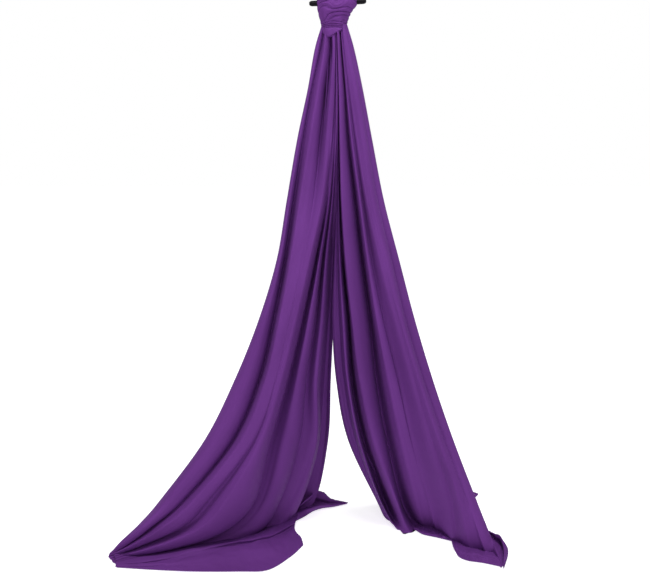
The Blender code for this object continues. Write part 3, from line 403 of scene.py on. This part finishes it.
# The floor and the photograph's camera, by which the knot and the tails are laid out.
FLOOR_Z = -2.078
CLOTH_LIFT = 0.003
CAMERA_PLACE = Vector((-0.034, -2.8, -0.802))
CAMERA_DOWN_DEGREES = 8.5
PHOTO_WIDTH_PX = 650
PHOTO_HEIGHT_PX = 572
LENS_MM = 50
SENSOR_MM = 36

# The knot's outline: rows of the photograph with its left and right edges, its half depth at each,
# and how low its front edge hangs from left to right.
KNOT_TOP_PX = -2
KNOT_WAIST_PX = 28
KNOT_SIDES_PX = (
    (-2, 316.2, 358.0), (5, 316.6, 357.0), (12, 317.8, 352.0), (18, 319.2, 349.2),
    (24, 320.6, 347.4), (28, 321.2, 347.6), (33, 321.8, 347.6), (38, 322.2, 347.0),
)
KNOT_HALF_DEPTHS = (0.034, 0.037, 0.036, 0.033, 0.030, 0.029, 0.031, 0.030)
KNOT_LIP_PX = (32, 38, 39.2, 38.2, 36, 33.6, 31.4, 27.6, 25.6)
KNOT_STATION_PX = 5.714
KNOT_FRONT_START = (-0.2, 0.5)
KNOT_CLOTH_SIZE = (1.5, 0.12)
KNOT_COLUMNS = 260
KNOT_ROWS = 200

# Wraps, pleats and bands: how far apart they lie, how deep their creases are and how sharp. The
# bands are at the waist. Below them the lip swells, and its hem turns in.
KNOT_SLANT_PX = 3.4
KNOT_ARCH_PX = 2.6
KNOT_WRAP_PX = 5.2
KNOT_WRAP_DEPTH = 0.0066
KNOT_WRAP_PINCH = 0.42
KNOT_PLEAT_PX = 2.1
KNOT_PLEAT_DEPTH = 0.0015
KNOT_PLEAT_PINCH = 0.7
KNOT_PLEAT_WAVER = 3
KNOT_BAND_PX = 2.7
KNOT_BAND_DEPTH = 0.0046
KNOT_BAND_PINCH = 0.5
KNOT_BAND_ARCH_PX = 2.2
KNOT_BAND_WAVER_PX = 0.8
KNOT_WAVERS_ROUND = 1.3
KNOT_WAVERS_DOWN = 0.09
BANDS_START_PX = (16, 20)
BANDS_END_PX = (27.5, 29)
LIP_START_PX = (27, 29)
LIP_PLEAT_LOSS = 0.7
LIP_SWELL = 0.0018
HEM_START = (0.93, 1)
HEM_NARROWING = 0.05
HEM_FLATTENING = 0.35
SIDE_CREASE_SHARE = 0.5

focal_px = LENS_MM / SENSOR_MM * PHOTO_WIDTH_PX
down_tilt = math.radians(CAMERA_DOWN_DEGREES)


def sight(px, py):
    """The direction in which the camera sees a point of the photograph."""
    right = (px - PHOTO_WIDTH_PX / 2) / focal_px
    up = (PHOTO_HEIGHT_PX / 2 - py) / focal_px
    return Vector((
        right,
        math.cos(down_tilt) + up * math.sin(down_tilt),
        up * math.cos(down_tilt) - math.sin(down_tilt),
    ))


def seen_low(px, py, rise):
    """Where a point of the photograph lies at a height above the floor."""
    ray = sight(px, py)
    return CAMERA_PLACE + ray * ((FLOOR_Z + rise - CAMERA_PLACE.z) / ray.z)


def above_floor(point):
    """The point, lifted to where cloth lies on the floor if it is lower."""
    point.z = max(point.z, FLOOR_Z + CLOTH_LIFT)
    return point


def seen_at(px, py, depth):
    """Where a point of the photograph lies at a depth along Y, or on the floor where depth is None."""
    if depth is None:
        return above_floor(seen_low(px, py, CLOTH_LIFT))
    ray = sight(px, py)
    return above_floor(CAMERA_PLACE + ray * ((depth - CAMERA_PLACE.y) / ray.y))


def ridge(phase, pinch):
    """Round-topped ridges with narrow creases between them: 0 in the crease, 1 on the ridge."""
    return abs(math.sin(math.pi * phase)) ** pinch


def ease(value, low, high):
    """0 below one limit and 1 above the other, with a smooth way between them."""
    t = min(max((value - low) / (high - low), 0), 1)
    return t * t * (3 - 2 * t)


knot_span_px = KNOT_STATION_PX * (len(KNOT_SIDES_PX) - 1)
knot_levels = []
for (py, left_px, right_px), half_depth in zip(KNOT_SIDES_PX, KNOT_HALF_DEPTHS):
    left = seen_at(left_px, py, 0)
    right = seen_at(right_px, py, 0)
    knot_levels.append(Vector((left.x, right.x, left.z, half_depth)))


def knot_point(u, v):
    """A point of the knot: u goes round it, and v down it. Creases lie inward of its outline."""
    turn = 2 * math.pi * u
    across, deep = math.cos(turn), math.sin(turn)
    front = ease(-deep, *KNOT_FRONT_START)
    lip = along_curve(KNOT_LIP_PX, (across + 1) / 2)
    row = KNOT_TOP_PX + v * (KNOT_WAIST_PX + (lip - KNOT_WAIST_PX) * front - KNOT_TOP_PX)
    level = along_curve(knot_levels, (row - KNOT_TOP_PX) / knot_span_px)
    middle, half = (level[0] + level[1]) / 2, (level[1] - level[0]) / 2

    waver = noise.noise((across * KNOT_WAVERS_ROUND, deep * KNOT_WAVERS_ROUND, row * KNOT_WAVERS_DOWN))
    slanted = row + KNOT_SLANT_PX * across - KNOT_ARCH_PX * across * across
    level_row = row - KNOT_BAND_ARCH_PX * across * across + KNOT_BAND_WAVER_PX * waver
    wraps = 1 - ridge(slanted / KNOT_WRAP_PX + waver, KNOT_WRAP_PINCH)
    pleats = 1 - ridge(slanted / KNOT_PLEAT_PX + KNOT_PLEAT_WAVER * waver, KNOT_PLEAT_PINCH)
    bands = 1 - ridge(level_row / KNOT_BAND_PX, KNOT_BAND_PINCH)

    banded = ease(row, *BANDS_START_PX)
    waist = banded * (1 - ease(row, *BANDS_END_PX))
    below = ease(row, *LIP_START_PX)
    inward = (1 - banded) * KNOT_WRAP_DEPTH * wraps + waist * KNOT_BAND_DEPTH * bands
    inward += KNOT_PLEAT_DEPTH * pleats * (1 - LIP_PLEAT_LOSS * below) - below * LIP_SWELL * front
    hem = ease(v, *HEM_START)
    x = middle + (half - inward * SIDE_CREASE_SHARE) * across * (1 - HEM_NARROWING * hem)
    y = (level[3] - inward) * deep * (1 - HEM_FLATTENING * hem)
    return Vector((x, y, level[2]))


knot_bm = laid_grid(KNOT_COLUMNS, KNOT_ROWS, KNOT_CLOTH_SIZE, knot_point)
join_edges(knot_bm)
knot_cloth = show("knot_cloth", knot_bm, tricot("knot_cloth"))
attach(knot_cloth, "figure_eight")
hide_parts("fabric_knot")


# The left tail: half of the fabric, gathered where it leaves the knot and spread towards the floor.
# It is pulled out to a gathered tip on the left, and its long folds all run down into that tip.

CLOTH_SIZE = (1.5, 2.2)
FOLD_ROWS_PX = (24, 50, 90, 140, 200, 260, 320, 380, 440, 500)
MIDDLE_ROW = 5
LAST_ROW = 9

# How much of a crease's depth there is at each of a fold's points, from the knot to the floor. A
# share below 0 brings the fold forward.
CREASE_SHARES = (0.10, 0.14, 0.22, 0.45, 0.80, 1.0, 1.0, 1.0, 0.85, 0.6, 0.5, 0.3, 0.0)
EARLY_CREASE_SHARES = (0.20, 0.32, 0.32, 0.45, 0.78, 1.0, 1.0, 1.0, 0.85, 0.6, 0.5, 0.3, 0.0)
LATE_CREASE_SHARES = (0.0, -0.1, -0.42, -0.40, 0.2, 1.0, 1.0, 1.0, 0.85, 0.6, 0.5, 0.3, 0.0)
TOP_ONLY_SHARES = (0.0, -0.1, -0.52, -0.55, -0.15, 0, 0, 0, 0, 0, 0, 0, 0)
BROKEN_CREASE_SHARES = (0.3, 0.8, 1.0, 0.8, 0.35, 0.1, 0.0, 0.1, 0.5, 1.0, 1.0, 0.8, 0.0)

# Each fold from the outer edge inwards: where it crosses the rows, how far back it lies at the
# first, the middle and the last row, how much further back its crease is, that depth's shares, and
# its last points, each with how far back it lies. Where that is None, the point is on the floor.
LEFT_FOLDS = (
    ((322, 314.5, 307.5, 297, 286.7, 276.5, 258.5, 234.5, 204.5, 160), (0, -0.012, -0.035), 0,
     CREASE_SHARES, ((139, 524, -0.060), (121, 541, -0.073), (112.4, 550.4, -0.080))),
    ((323, 317, 309.5, 299, 289.2, 280, 265, 246, 216, 168), (-0.012, -0.042, -0.080), 0,
     CREASE_SHARES, ((144, 526, -0.098), (124, 543, -0.092), (109.6, 552.8, -0.084))),
    ((324.3, 320.3, 311.8, 303, 293.6, 284.6, 273.4, 259, 233, 184), (-0.016, -0.050, -0.090), 0.056,
     EARLY_CREASE_SHARES, ((153, 526, -0.094), (128, 545, -0.094), (108.6, 555.4, -0.088))),
    ((326, 324, 318, 310, 300.5, 291, 280, 266, 241.5, 194), (-0.021, -0.062, -0.100), 0,
     CREASE_SHARES, ((163, 526.5, -0.110), (132, 545, -0.106), (108.3, 557.4, -0.092))),
    ((330, 331, 325.4, 320, 313, 302, 289, 275, 254.5, 209), (-0.019, -0.068, -0.110), 0.046,
     BROKEN_CREASE_SHARES, ((183, 526, -0.112), (138, 546.5, -0.108), (108.4, 559.2, -0.096))),
    ((331.5, 333, 330.8, 326.4, 321, 308.5, 294.5, 279.5, 260.5, 228), (-0.024, -0.074, -0.096), 0,
     CREASE_SHARES, ((203, 527, -0.098), (150, 548, -0.110), (108.9, 560.8, -0.101))),
    ((334.2, 335.1, 334.6, 331.5, 326.2, 315, 302, 287.5, 271, 255), (-0.026, -0.028, 0.000), 0.066,
     LATE_CREASE_SHARES, ((222, 531, -0.040), (165, 550, -0.085), (109.6, 562.4, -0.106))),
    ((334.6, 335.4, 335.1, 333, 328.6, 319, 308.5, 297, 284.5, 268), (-0.022, -0.012, 0.030), 0.045,
     TOP_ONLY_SHARES, ((240, 533, -0.010), (176, 551.5, -0.075), (110.6, 563.8, -0.114))),
    ((335, 335.7, 335.6, 334.2, 330.2, 322.2, 315, 306.5, 300, 280), (-0.020, -0.004, 0.090), 0.060,
     LATE_CREASE_SHARES, ((256, 532, 0.050), (186, 550.5, -0.055), (111.8, 565.0, -0.124))),
    ((335.4, 336.1, 336.4, 335.6, 332, 325.5, 321, 315.2, 314.5, 293.5), (-0.019, 0.004, 0.150), 0.055,
     TOP_ONLY_SHARES, ((268, 530, 0.080), (192, 550, -0.040), (113.2, 566.0, -0.136))),
    ((335.8, 336.6, 337.1, 336.8, 334, 329.8, 326.8, 321, 319.5, 301), (-0.014, 0.020, 0.250), 0.060,
     LATE_CREASE_SHARES, ((280, 525, None), (197, 547, None), (115, 566.8, None))),
    ((336.2, 337, 338, 338.4, 338.0, 335.8, 333.6, 330.9, 328.2, 315), (-0.008, 0.050, 0.285), 0.055,
     TOP_ONLY_SHARES, ((289, 521, None), (204, 546, None), (117, 567, None))),
)

# The cloth between two folds: o goes back and then across, c goes across and then back, and s is
# level at both folds.
LEFT_FOLD_WALLS = "ocscscscscc"
LEFT_RIPPLE_SEED = 3
TAIL_ROWS = 240
FRONT_COLUMNS_PER_SPAN = 14
RIPPLE_DEPTH = 0.0022
RIPPLE_GROWTH = 2.5
RIPPLES_ACROSS = 50
RIPPLES_DOWN = 2.2
FINE_RIPPLES_ACROSS = 130
FINE_RIPPLES_DOWN = 5
FINE_RIPPLE_SHARE = 0.5
FINE_RIPPLE_SEED = 7

# The pleats behind: how deep they are at each of the folds' points, and how unevenly they stand.
LEFT_BACK_DEPTHS = (0.020, 0.026, 0.036, 0.048, 0.066, 0.085, 0.102, 0.115, 0.12, 0.12, 0.11, 0.06, 0.01)
BACK_PLEATS = 8
BACK_COLUMNS_PER_SPAN = 8
BACK_RIDGE_SHARE = 0.9
BACK_VALLEY_SHARE = 0.16
BACK_UNEVENNESS = 0.14
BACK_WANDER = 0.3
BACK_FULLNESS = 0.6
WANDER_NOISE = (1.7, 0.4)
STAND_NOISE = (2.3, 5.1)

# Cloth that lies on the floor, as lines of points in the photograph with how high each lies above
# the floor: the flap in front, and the twisted corner that runs back behind the gap.
FLOOR_CLOTH_SIZE = (0.6, 0.2)
FLOOR_COLUMNS = 110
FLOOR_CROSS_ROWS = 44
FLOOR_RIPPLE = 0.004
FLOOR_RIPPLES = (9, 5)
FLOOR_FINE_RIPPLES = (26, 11)
FLOOR_FINE_SHARE = 0.6
FLOOR_FINE_SEED = 4
LEFT_FLAP = (
    ((300, 507, 0.012), (284, 515, 0.012), (262, 527, 0.014), (236, 533, 0.014), (200, 540, 0.012),
     (160, 550, 0.008), (116, 560, 0.003)),
    ((296, 521, 0.030), (276, 531.5, 0.038), (258, 537, 0.040), (230, 542, 0.038), (195, 548, 0.030),
     (158, 558.5, 0.016), (116, 563.5, 0.008)),
    ((295, 525, 0.022), (275, 537, 0.029), (256, 541.5, 0.030), (228, 546, 0.028), (193, 554.5, 0.020),
     (158, 561.5, 0.010), (116, 565, 0.006)),
    ((295.2, 530, 0.026), (280, 544, 0.030), (258, 549, 0.028), (227, 552, 0.026), (193, 559, 0.018),
     (158, 564.5, 0.010), (116, 566, 0.006)),
    ((301, 537, 0.014), (287, 553, 0.014), (262, 561, 0.012), (232, 563, 0.011), (195, 565, 0.009),
     (157, 566.5, 0.006), (116, 566.8, 0.005)),
    ((303.6, 545, 0.003), (291, 556.5, 0.003), (268, 570, 0.003), (238, 571.5, 0.003), (195, 571.5, 0.003),
     (156, 570, 0.003), (117, 567.6, 0.003)),
)
LEFT_FAR_END = (
    ((294, 522, 0.003), (304, 517, 0.003), (313, 511.5, 0.003), (322, 508.5, 0.003), (334, 506.8, 0.003),
     (347, 503.8, 0.003)),
    ((290, 518, 0.030), (301, 511, 0.022), (311, 507.5, 0.024), (321, 505, 0.022), (334, 504.8, 0.012),
     (347.5, 503.2, 0.006)),
    ((293, 512, 0.012), (303, 507, 0.006), (312, 503, 0.008), (321, 502.5, 0.008), (334, 503.5, 0.006),
     (347.5, 502.8, 0.005)),
    ((297, 508, 0.030), (306, 500, 0.045), (313, 496, 0.046), (320, 498, 0.030), (332, 501.5, 0.014),
     (347.7, 502.5, 0.006)),
    ((300, 506, 0.040), (310, 497, 0.060), (316.5, 491, 0.062), (324, 492.3, 0.046), (331, 498.5, 0.024),
     (347.8, 502.3, 0.006)),
    ((303, 505, 0.003), (313, 503, 0.003), (320, 501, 0.003), (327, 500.4, 0.003), (335, 501.4, 0.003),
     (348, 502.4, 0.003)),
)


def fold_track(fold):
    """The fold's own line down the cloth, as points in metres."""
    rows, (top, middle, low), crease, shares, last = fold
    track = []
    for index, (px, py) in enumerate(zip(rows, FOLD_ROWS_PX)):
        from_middle, from_last = index - MIDDLE_ROW, index - LAST_ROW
        depth = (
            top * from_middle * from_last / (MIDDLE_ROW * LAST_ROW)
            - middle * index * from_last / (MIDDLE_ROW * (LAST_ROW - MIDDLE_ROW))
            + low * index * from_middle / (LAST_ROW * (LAST_ROW - MIDDLE_ROW))
        )
        track.append(seen_at(px, py, depth + crease * shares[index]))
    for index, (px, py, depth) in enumerate(last, len(rows)):
        if depth is not None:
            depth += crease * shares[index]
        track.append(seen_at(px, py, depth))
    return track


def back_tracks(first, last, depths):
    """The lines of the pleats behind, from one edge of the front folds to the other."""
    tracks = []
    for index in range(1, 2 * BACK_PLEATS):
        share = index / (2 * BACK_PLEATS)
        wander = noise.noise((index * WANDER_NOISE[0], WANDER_NOISE[1], 0))
        share += BACK_WANDER * wander / (2 * BACK_PLEATS)
        stand = BACK_VALLEY_SHARE
        if index % 2:
            uneven = noise.noise((index * STAND_NOISE[0], STAND_NOISE[1], 0))
            stand = BACK_RIDGE_SHARE + BACK_UNEVENNESS * uneven
        track = []
        for a, b, depth in zip(first, last, depths):
            point = a.lerp(b, share)
            point.y += depth * math.sin(math.pi * share) ** BACK_FULLNESS * stand
            track.append(above_floor(point))
        tracks.append(track)
    return tracks


def wall_shares(kind, t):
    """How far across and how far in depth the cloth is between two folds' lines."""
    if kind == "o":
        return 1 - math.cos(math.pi * t / 2), math.sin(math.pi * t / 2)
    if kind == "c":
        return math.sin(math.pi * t / 2), 1 - math.cos(math.pi * t / 2)
    return t, t * t * (3 - 2 * t)


def tail_sheet(tracks, walls, front_first, seed):
    """The tail's cloth: a grid whose columns cross the folds and whose rows run down them."""
    spans = []
    for index in range(len(walls)):
        at_front = index < len(walls) - 2 * BACK_PLEATS if front_first else index >= 2 * BACK_PLEATS
        spans += [index] * (FRONT_COLUMNS_PER_SPAN if at_front else BACK_COLUMNS_PER_SPAN)
    starts = {index: spans.index(index) for index in set(spans)}
    lines = [[along_curve(track, row / TAIL_ROWS) for row in range(TAIL_ROWS + 1)] for track in tracks]

    def place(u, v):
        column = min(round(u * len(spans)), len(spans))
        row = round(v * TAIL_ROWS)
        span = spans[min(column, len(spans) - 1)]
        left, right = lines[span][row], lines[span + 1][row]
        side, deep = wall_shares(walls[span], (column - starts[span]) / spans.count(span))
        point = left.lerp(right, side)
        point.y = left.y + (right.y - left.y) * deep
        coarse = noise.noise((u * RIPPLES_ACROSS, v * RIPPLES_DOWN, seed))
        fine = noise.noise((u * FINE_RIPPLES_ACROSS, v * FINE_RIPPLES_DOWN, seed + FINE_RIPPLE_SEED))
        point.y += RIPPLE_DEPTH * min(1, v * RIPPLE_GROWTH) * (coarse + FINE_RIPPLE_SHARE * fine)
        return above_floor(point)

    bm = laid_grid(len(spans), TAIL_ROWS, CLOTH_SIZE, place)
    bm.normal_update()
    return bm


def lie_on_floor(bm, lines):
    """Joins a part of the cloth that lies on the floor, laid through lines of photo points."""
    rows = [[seen_low(px, py, rise) for px, py, rise in line] for line in lines]

    def place(u, v):
        point = along_curve([along_curve(row, u) for row in rows], v)
        across, down = FLOOR_RIPPLES
        coarse = noise.noise((u * across, v * down, len(lines)))
        across, down = FLOOR_FINE_RIPPLES
        fine = noise.noise((u * across, v * down, FLOOR_FINE_SEED))
        point.z += FLOOR_RIPPLE * (coarse + FLOOR_FINE_SHARE * fine) * math.sin(math.pi * v)
        return above_floor(point)

    piece = laid_grid(FLOOR_COLUMNS, FLOOR_CROSS_ROWS, FLOOR_CLOTH_SIZE, place)
    piece.normal_update()
    if sum(face.normal.z for face in piece.faces) < 0:
        bmesh.ops.reverse_faces(piece, faces=piece.faces)
    carried = bpy.data.meshes.new("floor_cloth")
    piece.to_mesh(carried)
    piece.free()
    bm.from_mesh(carried)
    bpy.data.meshes.remove(carried)


def face_outwards(bm):
    """Cloth whose faces look inwards, taken together, is turned over."""
    middle = sum((face.calc_center_median() for face in bm.faces), Vector()) / len(bm.faces)
    votes = sum((face.calc_center_median() - middle).dot(face.normal) for face in bm.faces)
    if votes < 0:
        bmesh.ops.reverse_faces(bm, faces=bm.faces)


left_front = [fold_track(fold) for fold in LEFT_FOLDS]
left_back = back_tracks(left_front[-1], left_front[0], LEFT_BACK_DEPTHS)
left_tracks = [left_front[-1]] + left_back + left_front
left_walls = "s" * (2 * BACK_PLEATS) + LEFT_FOLD_WALLS
left_bm = tail_sheet(left_tracks, left_walls, False, LEFT_RIPPLE_SEED)
face_outwards(left_bm)
lie_on_floor(left_bm, LEFT_FLAP)
lie_on_floor(left_bm, LEFT_FAR_END)
left_cloth = show("left_tail_cloth", left_bm, tricot("left_tail_cloth"))
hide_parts("left_tail")
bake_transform(left_cloth)


# The right tail: the other half of the fabric. It spreads less, its deep folds hang straighter, and
# its outer folds run down into a corner that is crumpled on the floor.

# Each fold from the gap between the tails outwards, written as the left tail's folds are.
RIGHT_FOLDS = (
    ((335, 335.6, 336.2, 336.4, 336.2, 334, 332.2, 336, 348, 376.5), (-0.010, 0.036, 0.255), 0,
     CREASE_SHARES, ((384.5, 516, 0.238), (396, 517, None), (400, 518, None))),
    ((335.3, 336, 336.6, 336.9, 336.9, 335.4, 335, 339.5, 351, 377.5), (-0.014, 0.022, 0.225), 0,
     CREASE_SHARES, ((389, 520.5, None), (399, 520, None), (403, 521, None))),
    ((335.6, 336.3, 337, 337.4, 337.6, 337.2, 338.6, 343, 354.5, 378.8), (-0.017, 0.018, 0.205), 0.006,
     CREASE_SHARES, ((393, 524.5, None), (402, 522, None), (406, 523, None))),
    ((335.9, 336.6, 337.3, 337.9, 338.6, 339.6, 343, 347.5, 359, 380.4), (-0.020, -0.020, 0.150), 0,
     CREASE_SHARES, ((398, 530, None), (406, 525, None), (410, 525, None))),
    ((336.3, 336.9, 337.6, 338.3, 339.6, 342.5, 348.3, 351.6, 363, 383.5), (-0.023, 0.000, 0.195), 0.075,
     CREASE_SHARES, ((403, 533.5, None), (410, 527, None), (414, 526, None))),
    ((337, 338, 339, 340, 341.4, 345.5, 352, 360, 373.5, 396), (-0.024, -0.050, 0.105), 0,
     CREASE_SHARES, ((409, 533, None), (416, 528, None), (420, 526, None))),
    ((339.8, 341.2, 344.4, 347.6, 354.6, 361.6, 369.4, 376, 386.4, 401), (-0.010, -0.030, 0.150), 0.078,
     EARLY_CREASE_SHARES, ((414, 526, 0.130), (420, 524, None), (424, 523, None))),
    ((340.6, 342.6, 346.4, 351.4, 359.4, 367.4, 377, 389, 402, 418), (-0.016, -0.050, 0.085), 0,
     CREASE_SHARES, ((425, 527, None), (434, 526, None), (440, 526, None))),
    ((341.2, 343.4, 347.6, 353.6, 362, 371.6, 383.5, 398, 411, 427), (-0.017, -0.052, 0.055), 0.026,
     CREASE_SHARES, ((437, 531, None), (446, 530, None), (452, 529, None))),
    ((342.2, 345, 350.4, 357.5, 367, 380.5, 397, 413.5, 431, 450), (-0.020, -0.062, 0), 0,
     CREASE_SHARES, ((456, 542, None), (464, 538, None), (468, 536, None))),
    ((343.2, 347, 354.4, 362, 371.5, 385.5, 401, 418.5, 438, 459), (-0.022, -0.062, -0.040), 0,
     CREASE_SHARES, ((471, 549, None), (480, 545, None), (484, 542, None))),
    ((345, 350.5, 359, 367.5, 377.5, 391.5, 405.5, 423.5, 444, 467), (-0.018, -0.046, -0.046), 0.020,
     CREASE_SHARES, ((484, 549, -0.080), (492, 553, None), (496, 552, None))),
    ((347, 354.5, 363, 372.3, 383.9, 399.3, 415, 433, 453.5, 476.5), (0, -0.010, -0.010), 0,
     CREASE_SHARES, ((490, 534, -0.040), (499, 556, -0.120), (503, 568, -0.160))),
)
RIGHT_FOLD_WALLS = "osscscscsscc"
RIGHT_RIPPLE_SEED = 11
RIGHT_BACK_DEPTHS = (0.020, 0.026, 0.036, 0.048, 0.066, 0.090, 0.115, 0.150, 0.18, 0.20, 0.20, 0.17, 0.15)

# On the floor: the near flap, a strip under the hem, the crumpled corner, and a corner of the cloth
# that runs out behind.
RIGHT_FLAP = (
    ((450, 534, 0.003), (460, 541, 0.003), (470, 545, 0.003), (484, 549, 0.003), (497, 551, 0.003)),
    ((452, 543, 0.014), (458, 548.5, 0.014), (466, 551.8, 0.014), (480, 554, 0.014), (498, 556, 0.012)),
    ((453.5, 548, 0.008), (459, 553, 0.008), (467, 556, 0.008), (481, 558.3, 0.008), (500, 561.5, 0.008)),
    ((455, 551, 0.003), (459, 557, 0.003), (468, 560.8, 0.003), (483, 563, 0.003), (502, 567, 0.003)),
)
RIGHT_STRIP = (
    ((410, 520, 0.003), (424, 523, 0.003), (437, 527, 0.003), (453, 536, 0.003)),
    ((413, 527.5, 0.010), (424, 531, 0.012), (437, 534, 0.012), (452, 539.5, 0.008)),
    ((416, 530.5, 0.003), (423, 534.5, 0.003), (437, 537.6, 0.003), (453, 541.5, 0.003)),
)
RIGHT_CORNER = (
    ((484, 545, 0.006), (489, 552, 0.006), (494, 559, 0.005), (501, 568, 0.003)),
    ((486, 533, 0.030), (493, 538, 0.020), (499, 548, 0.012), (503, 566, 0.004)),
    ((489, 531, 0.040), (495, 536.5, 0.034), (502, 547, 0.010), (503.2, 567, 0.004)),
    ((492, 533.5, 0.030), (500, 536, 0.045), (504, 550, 0.026), (503.4, 568, 0.004)),
    ((496, 537, 0.020), (503, 541, 0.034), (508.3, 551, 0.016), (503.6, 569, 0.003)),
    ((498, 541, 0.003), (504, 547, 0.003), (507, 557, 0.003), (503.6, 570, 0.003)),
)
RIGHT_SPUR = (
    ((405, 532, 0.003), (425, 527, 0.003), (445, 519, 0.003), (460, 510, 0.003), (470, 502, 0.003),
     (478, 495.2, 0.020)),
    ((406, 520, 0.012), (427, 514, 0.016), (446, 508, 0.020), (462, 502, 0.024), (471, 496.5, 0.028),
     (478.2, 494.4, 0.024)),
    ((410, 508, 0.020), (430, 502, 0.022), (446, 498, 0.026), (463, 494.8, 0.030), (471.5, 491.6, 0.035),
     (478.3, 493.6, 0.026)),
    ((412, 510, 0.008), (431, 503.5, 0.010), (447, 500.2, 0.012), (464, 497.5, 0.016),
     (471.5, 495.4, 0.018), (478, 494.9, 0.022)),
)

right_front = [fold_track(fold) for fold in RIGHT_FOLDS]
right_back = back_tracks(right_front[-1], right_front[0], RIGHT_BACK_DEPTHS)
right_tracks = right_front + right_back + [right_front[0]]
right_walls = RIGHT_FOLD_WALLS + "s" * (2 * BACK_PLEATS)
right_bm = tail_sheet(right_tracks, right_walls, True, RIGHT_RIPPLE_SEED)
face_outwards(right_bm)
for floor_piece in (RIGHT_FLAP, RIGHT_STRIP, RIGHT_CORNER, RIGHT_SPUR):
    lie_on_floor(right_bm, floor_piece)
right_cloth = show("right_tail_cloth", right_bm, tricot("right_tail_cloth"))
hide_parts("right_tail")
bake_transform(right_cloth)


# The studio: a pale floor whose own glow grows with distance until it meets the white behind it,
# broad soft light from the front, from above and from the left, and the photograph's camera.

WHITE = (1, 1, 1)
FLOOR_HALF_SIZE = 30
FLOOR_PALE = (0.80, 0.80, 0.81)
FLOOR_ROUGHNESS = 0.9
FLOOR_GLOW = (0.58, 0.90)
GLOW_DISTANCES = (1.2, 3.6)
SKY_STRENGTH = 0.20

# Each soft box's name, its place, the point that it faces, its side in metres and its watts.
SOFT_BOXES = (
    ("front_box", (0.3, -4.4, 0.8), (0, 0, -1.3), 2.4, 76),
    ("top_box", (0.1, -1.0, 2.6), (0, -0.2, -2), 1.2, 150),
    ("left_box", (-3.6, -2.4, 0.2), (0, 0, -1.2), 2.0, 25),
)

floor_bm = bmesh.new()
bmesh.ops.create_grid(
    floor_bm, x_segments=1, y_segments=1, size=FLOOR_HALF_SIZE,
    matrix=Matrix.Translation((0, 0, FLOOR_Z)),
)
floor_finish, floor_tree, floor_shader, floor_where = new_finish("studio_floor")
floor_shader.inputs["Base Color"].default_value = (*FLOOR_PALE, 1)
floor_shader.inputs["Roughness"].default_value = FLOOR_ROUGHNESS
floor_shader.inputs["Specular IOR Level"].default_value = 0
floor_shader.inputs["Emission Color"].default_value = (*WHITE, 1)
far_off = floor_tree.nodes.new("ShaderNodeVectorMath")
far_off.operation = "LENGTH"
floor_tree.links.new(floor_where.outputs["Object"], far_off.inputs[0])
glow = ranged(floor_tree, far_off.outputs["Value"], GLOW_DISTANCES, FLOOR_GLOW)
floor_tree.links.new(glow, floor_shader.inputs["Emission Strength"])
floor = show("studio_floor", floor_bm, floor_finish)

world = bpy.data.worlds.new("studio")
bpy.context.scene.world = world
world.use_nodes = True
sky = world.node_tree
backing = sky.nodes["Background"]
paths = sky.nodes.new("ShaderNodeLightPath")
mirrored = reckoned(
    sky, "MAXIMUM", paths.outputs["Is Glossy Ray"], paths.outputs["Is Transmission Ray"]
)
shown = reckoned(sky, "MAXIMUM", paths.outputs["Is Camera Ray"], mirrored)
sky.links.new(ranged(sky, shown, (0, 1), (SKY_STRENGTH, 1)), backing.inputs["Strength"])
backing.inputs["Color"].default_value = (*WHITE, 1)

for name, place, target, size, power in SOFT_BOXES:
    light = bpy.data.lights.new(name, "AREA")
    light.shape = "SQUARE"
    light.size = size
    light.energy = power
    lamp = bpy.data.objects.new(name, light)
    bpy.context.scene.collection.objects.link(lamp)
    lamp.location = place
    lamp.rotation_euler = (Vector(target) - Vector(place)).to_track_quat("-Z", "Y").to_euler()

lens = bpy.data.cameras.new("studio_camera")
lens.lens = LENS_MM
lens.sensor_width = SENSOR_MM
camera = bpy.data.objects.new("studio_camera", lens)
bpy.context.scene.collection.objects.link(camera)
camera.location = CAMERA_PLACE
camera.rotation_euler = (math.pi / 2 - down_tilt, 0, 0)
bpy.context.scene.camera = camera
bpy.context.scene.view_settings.view_transform = "Standard"
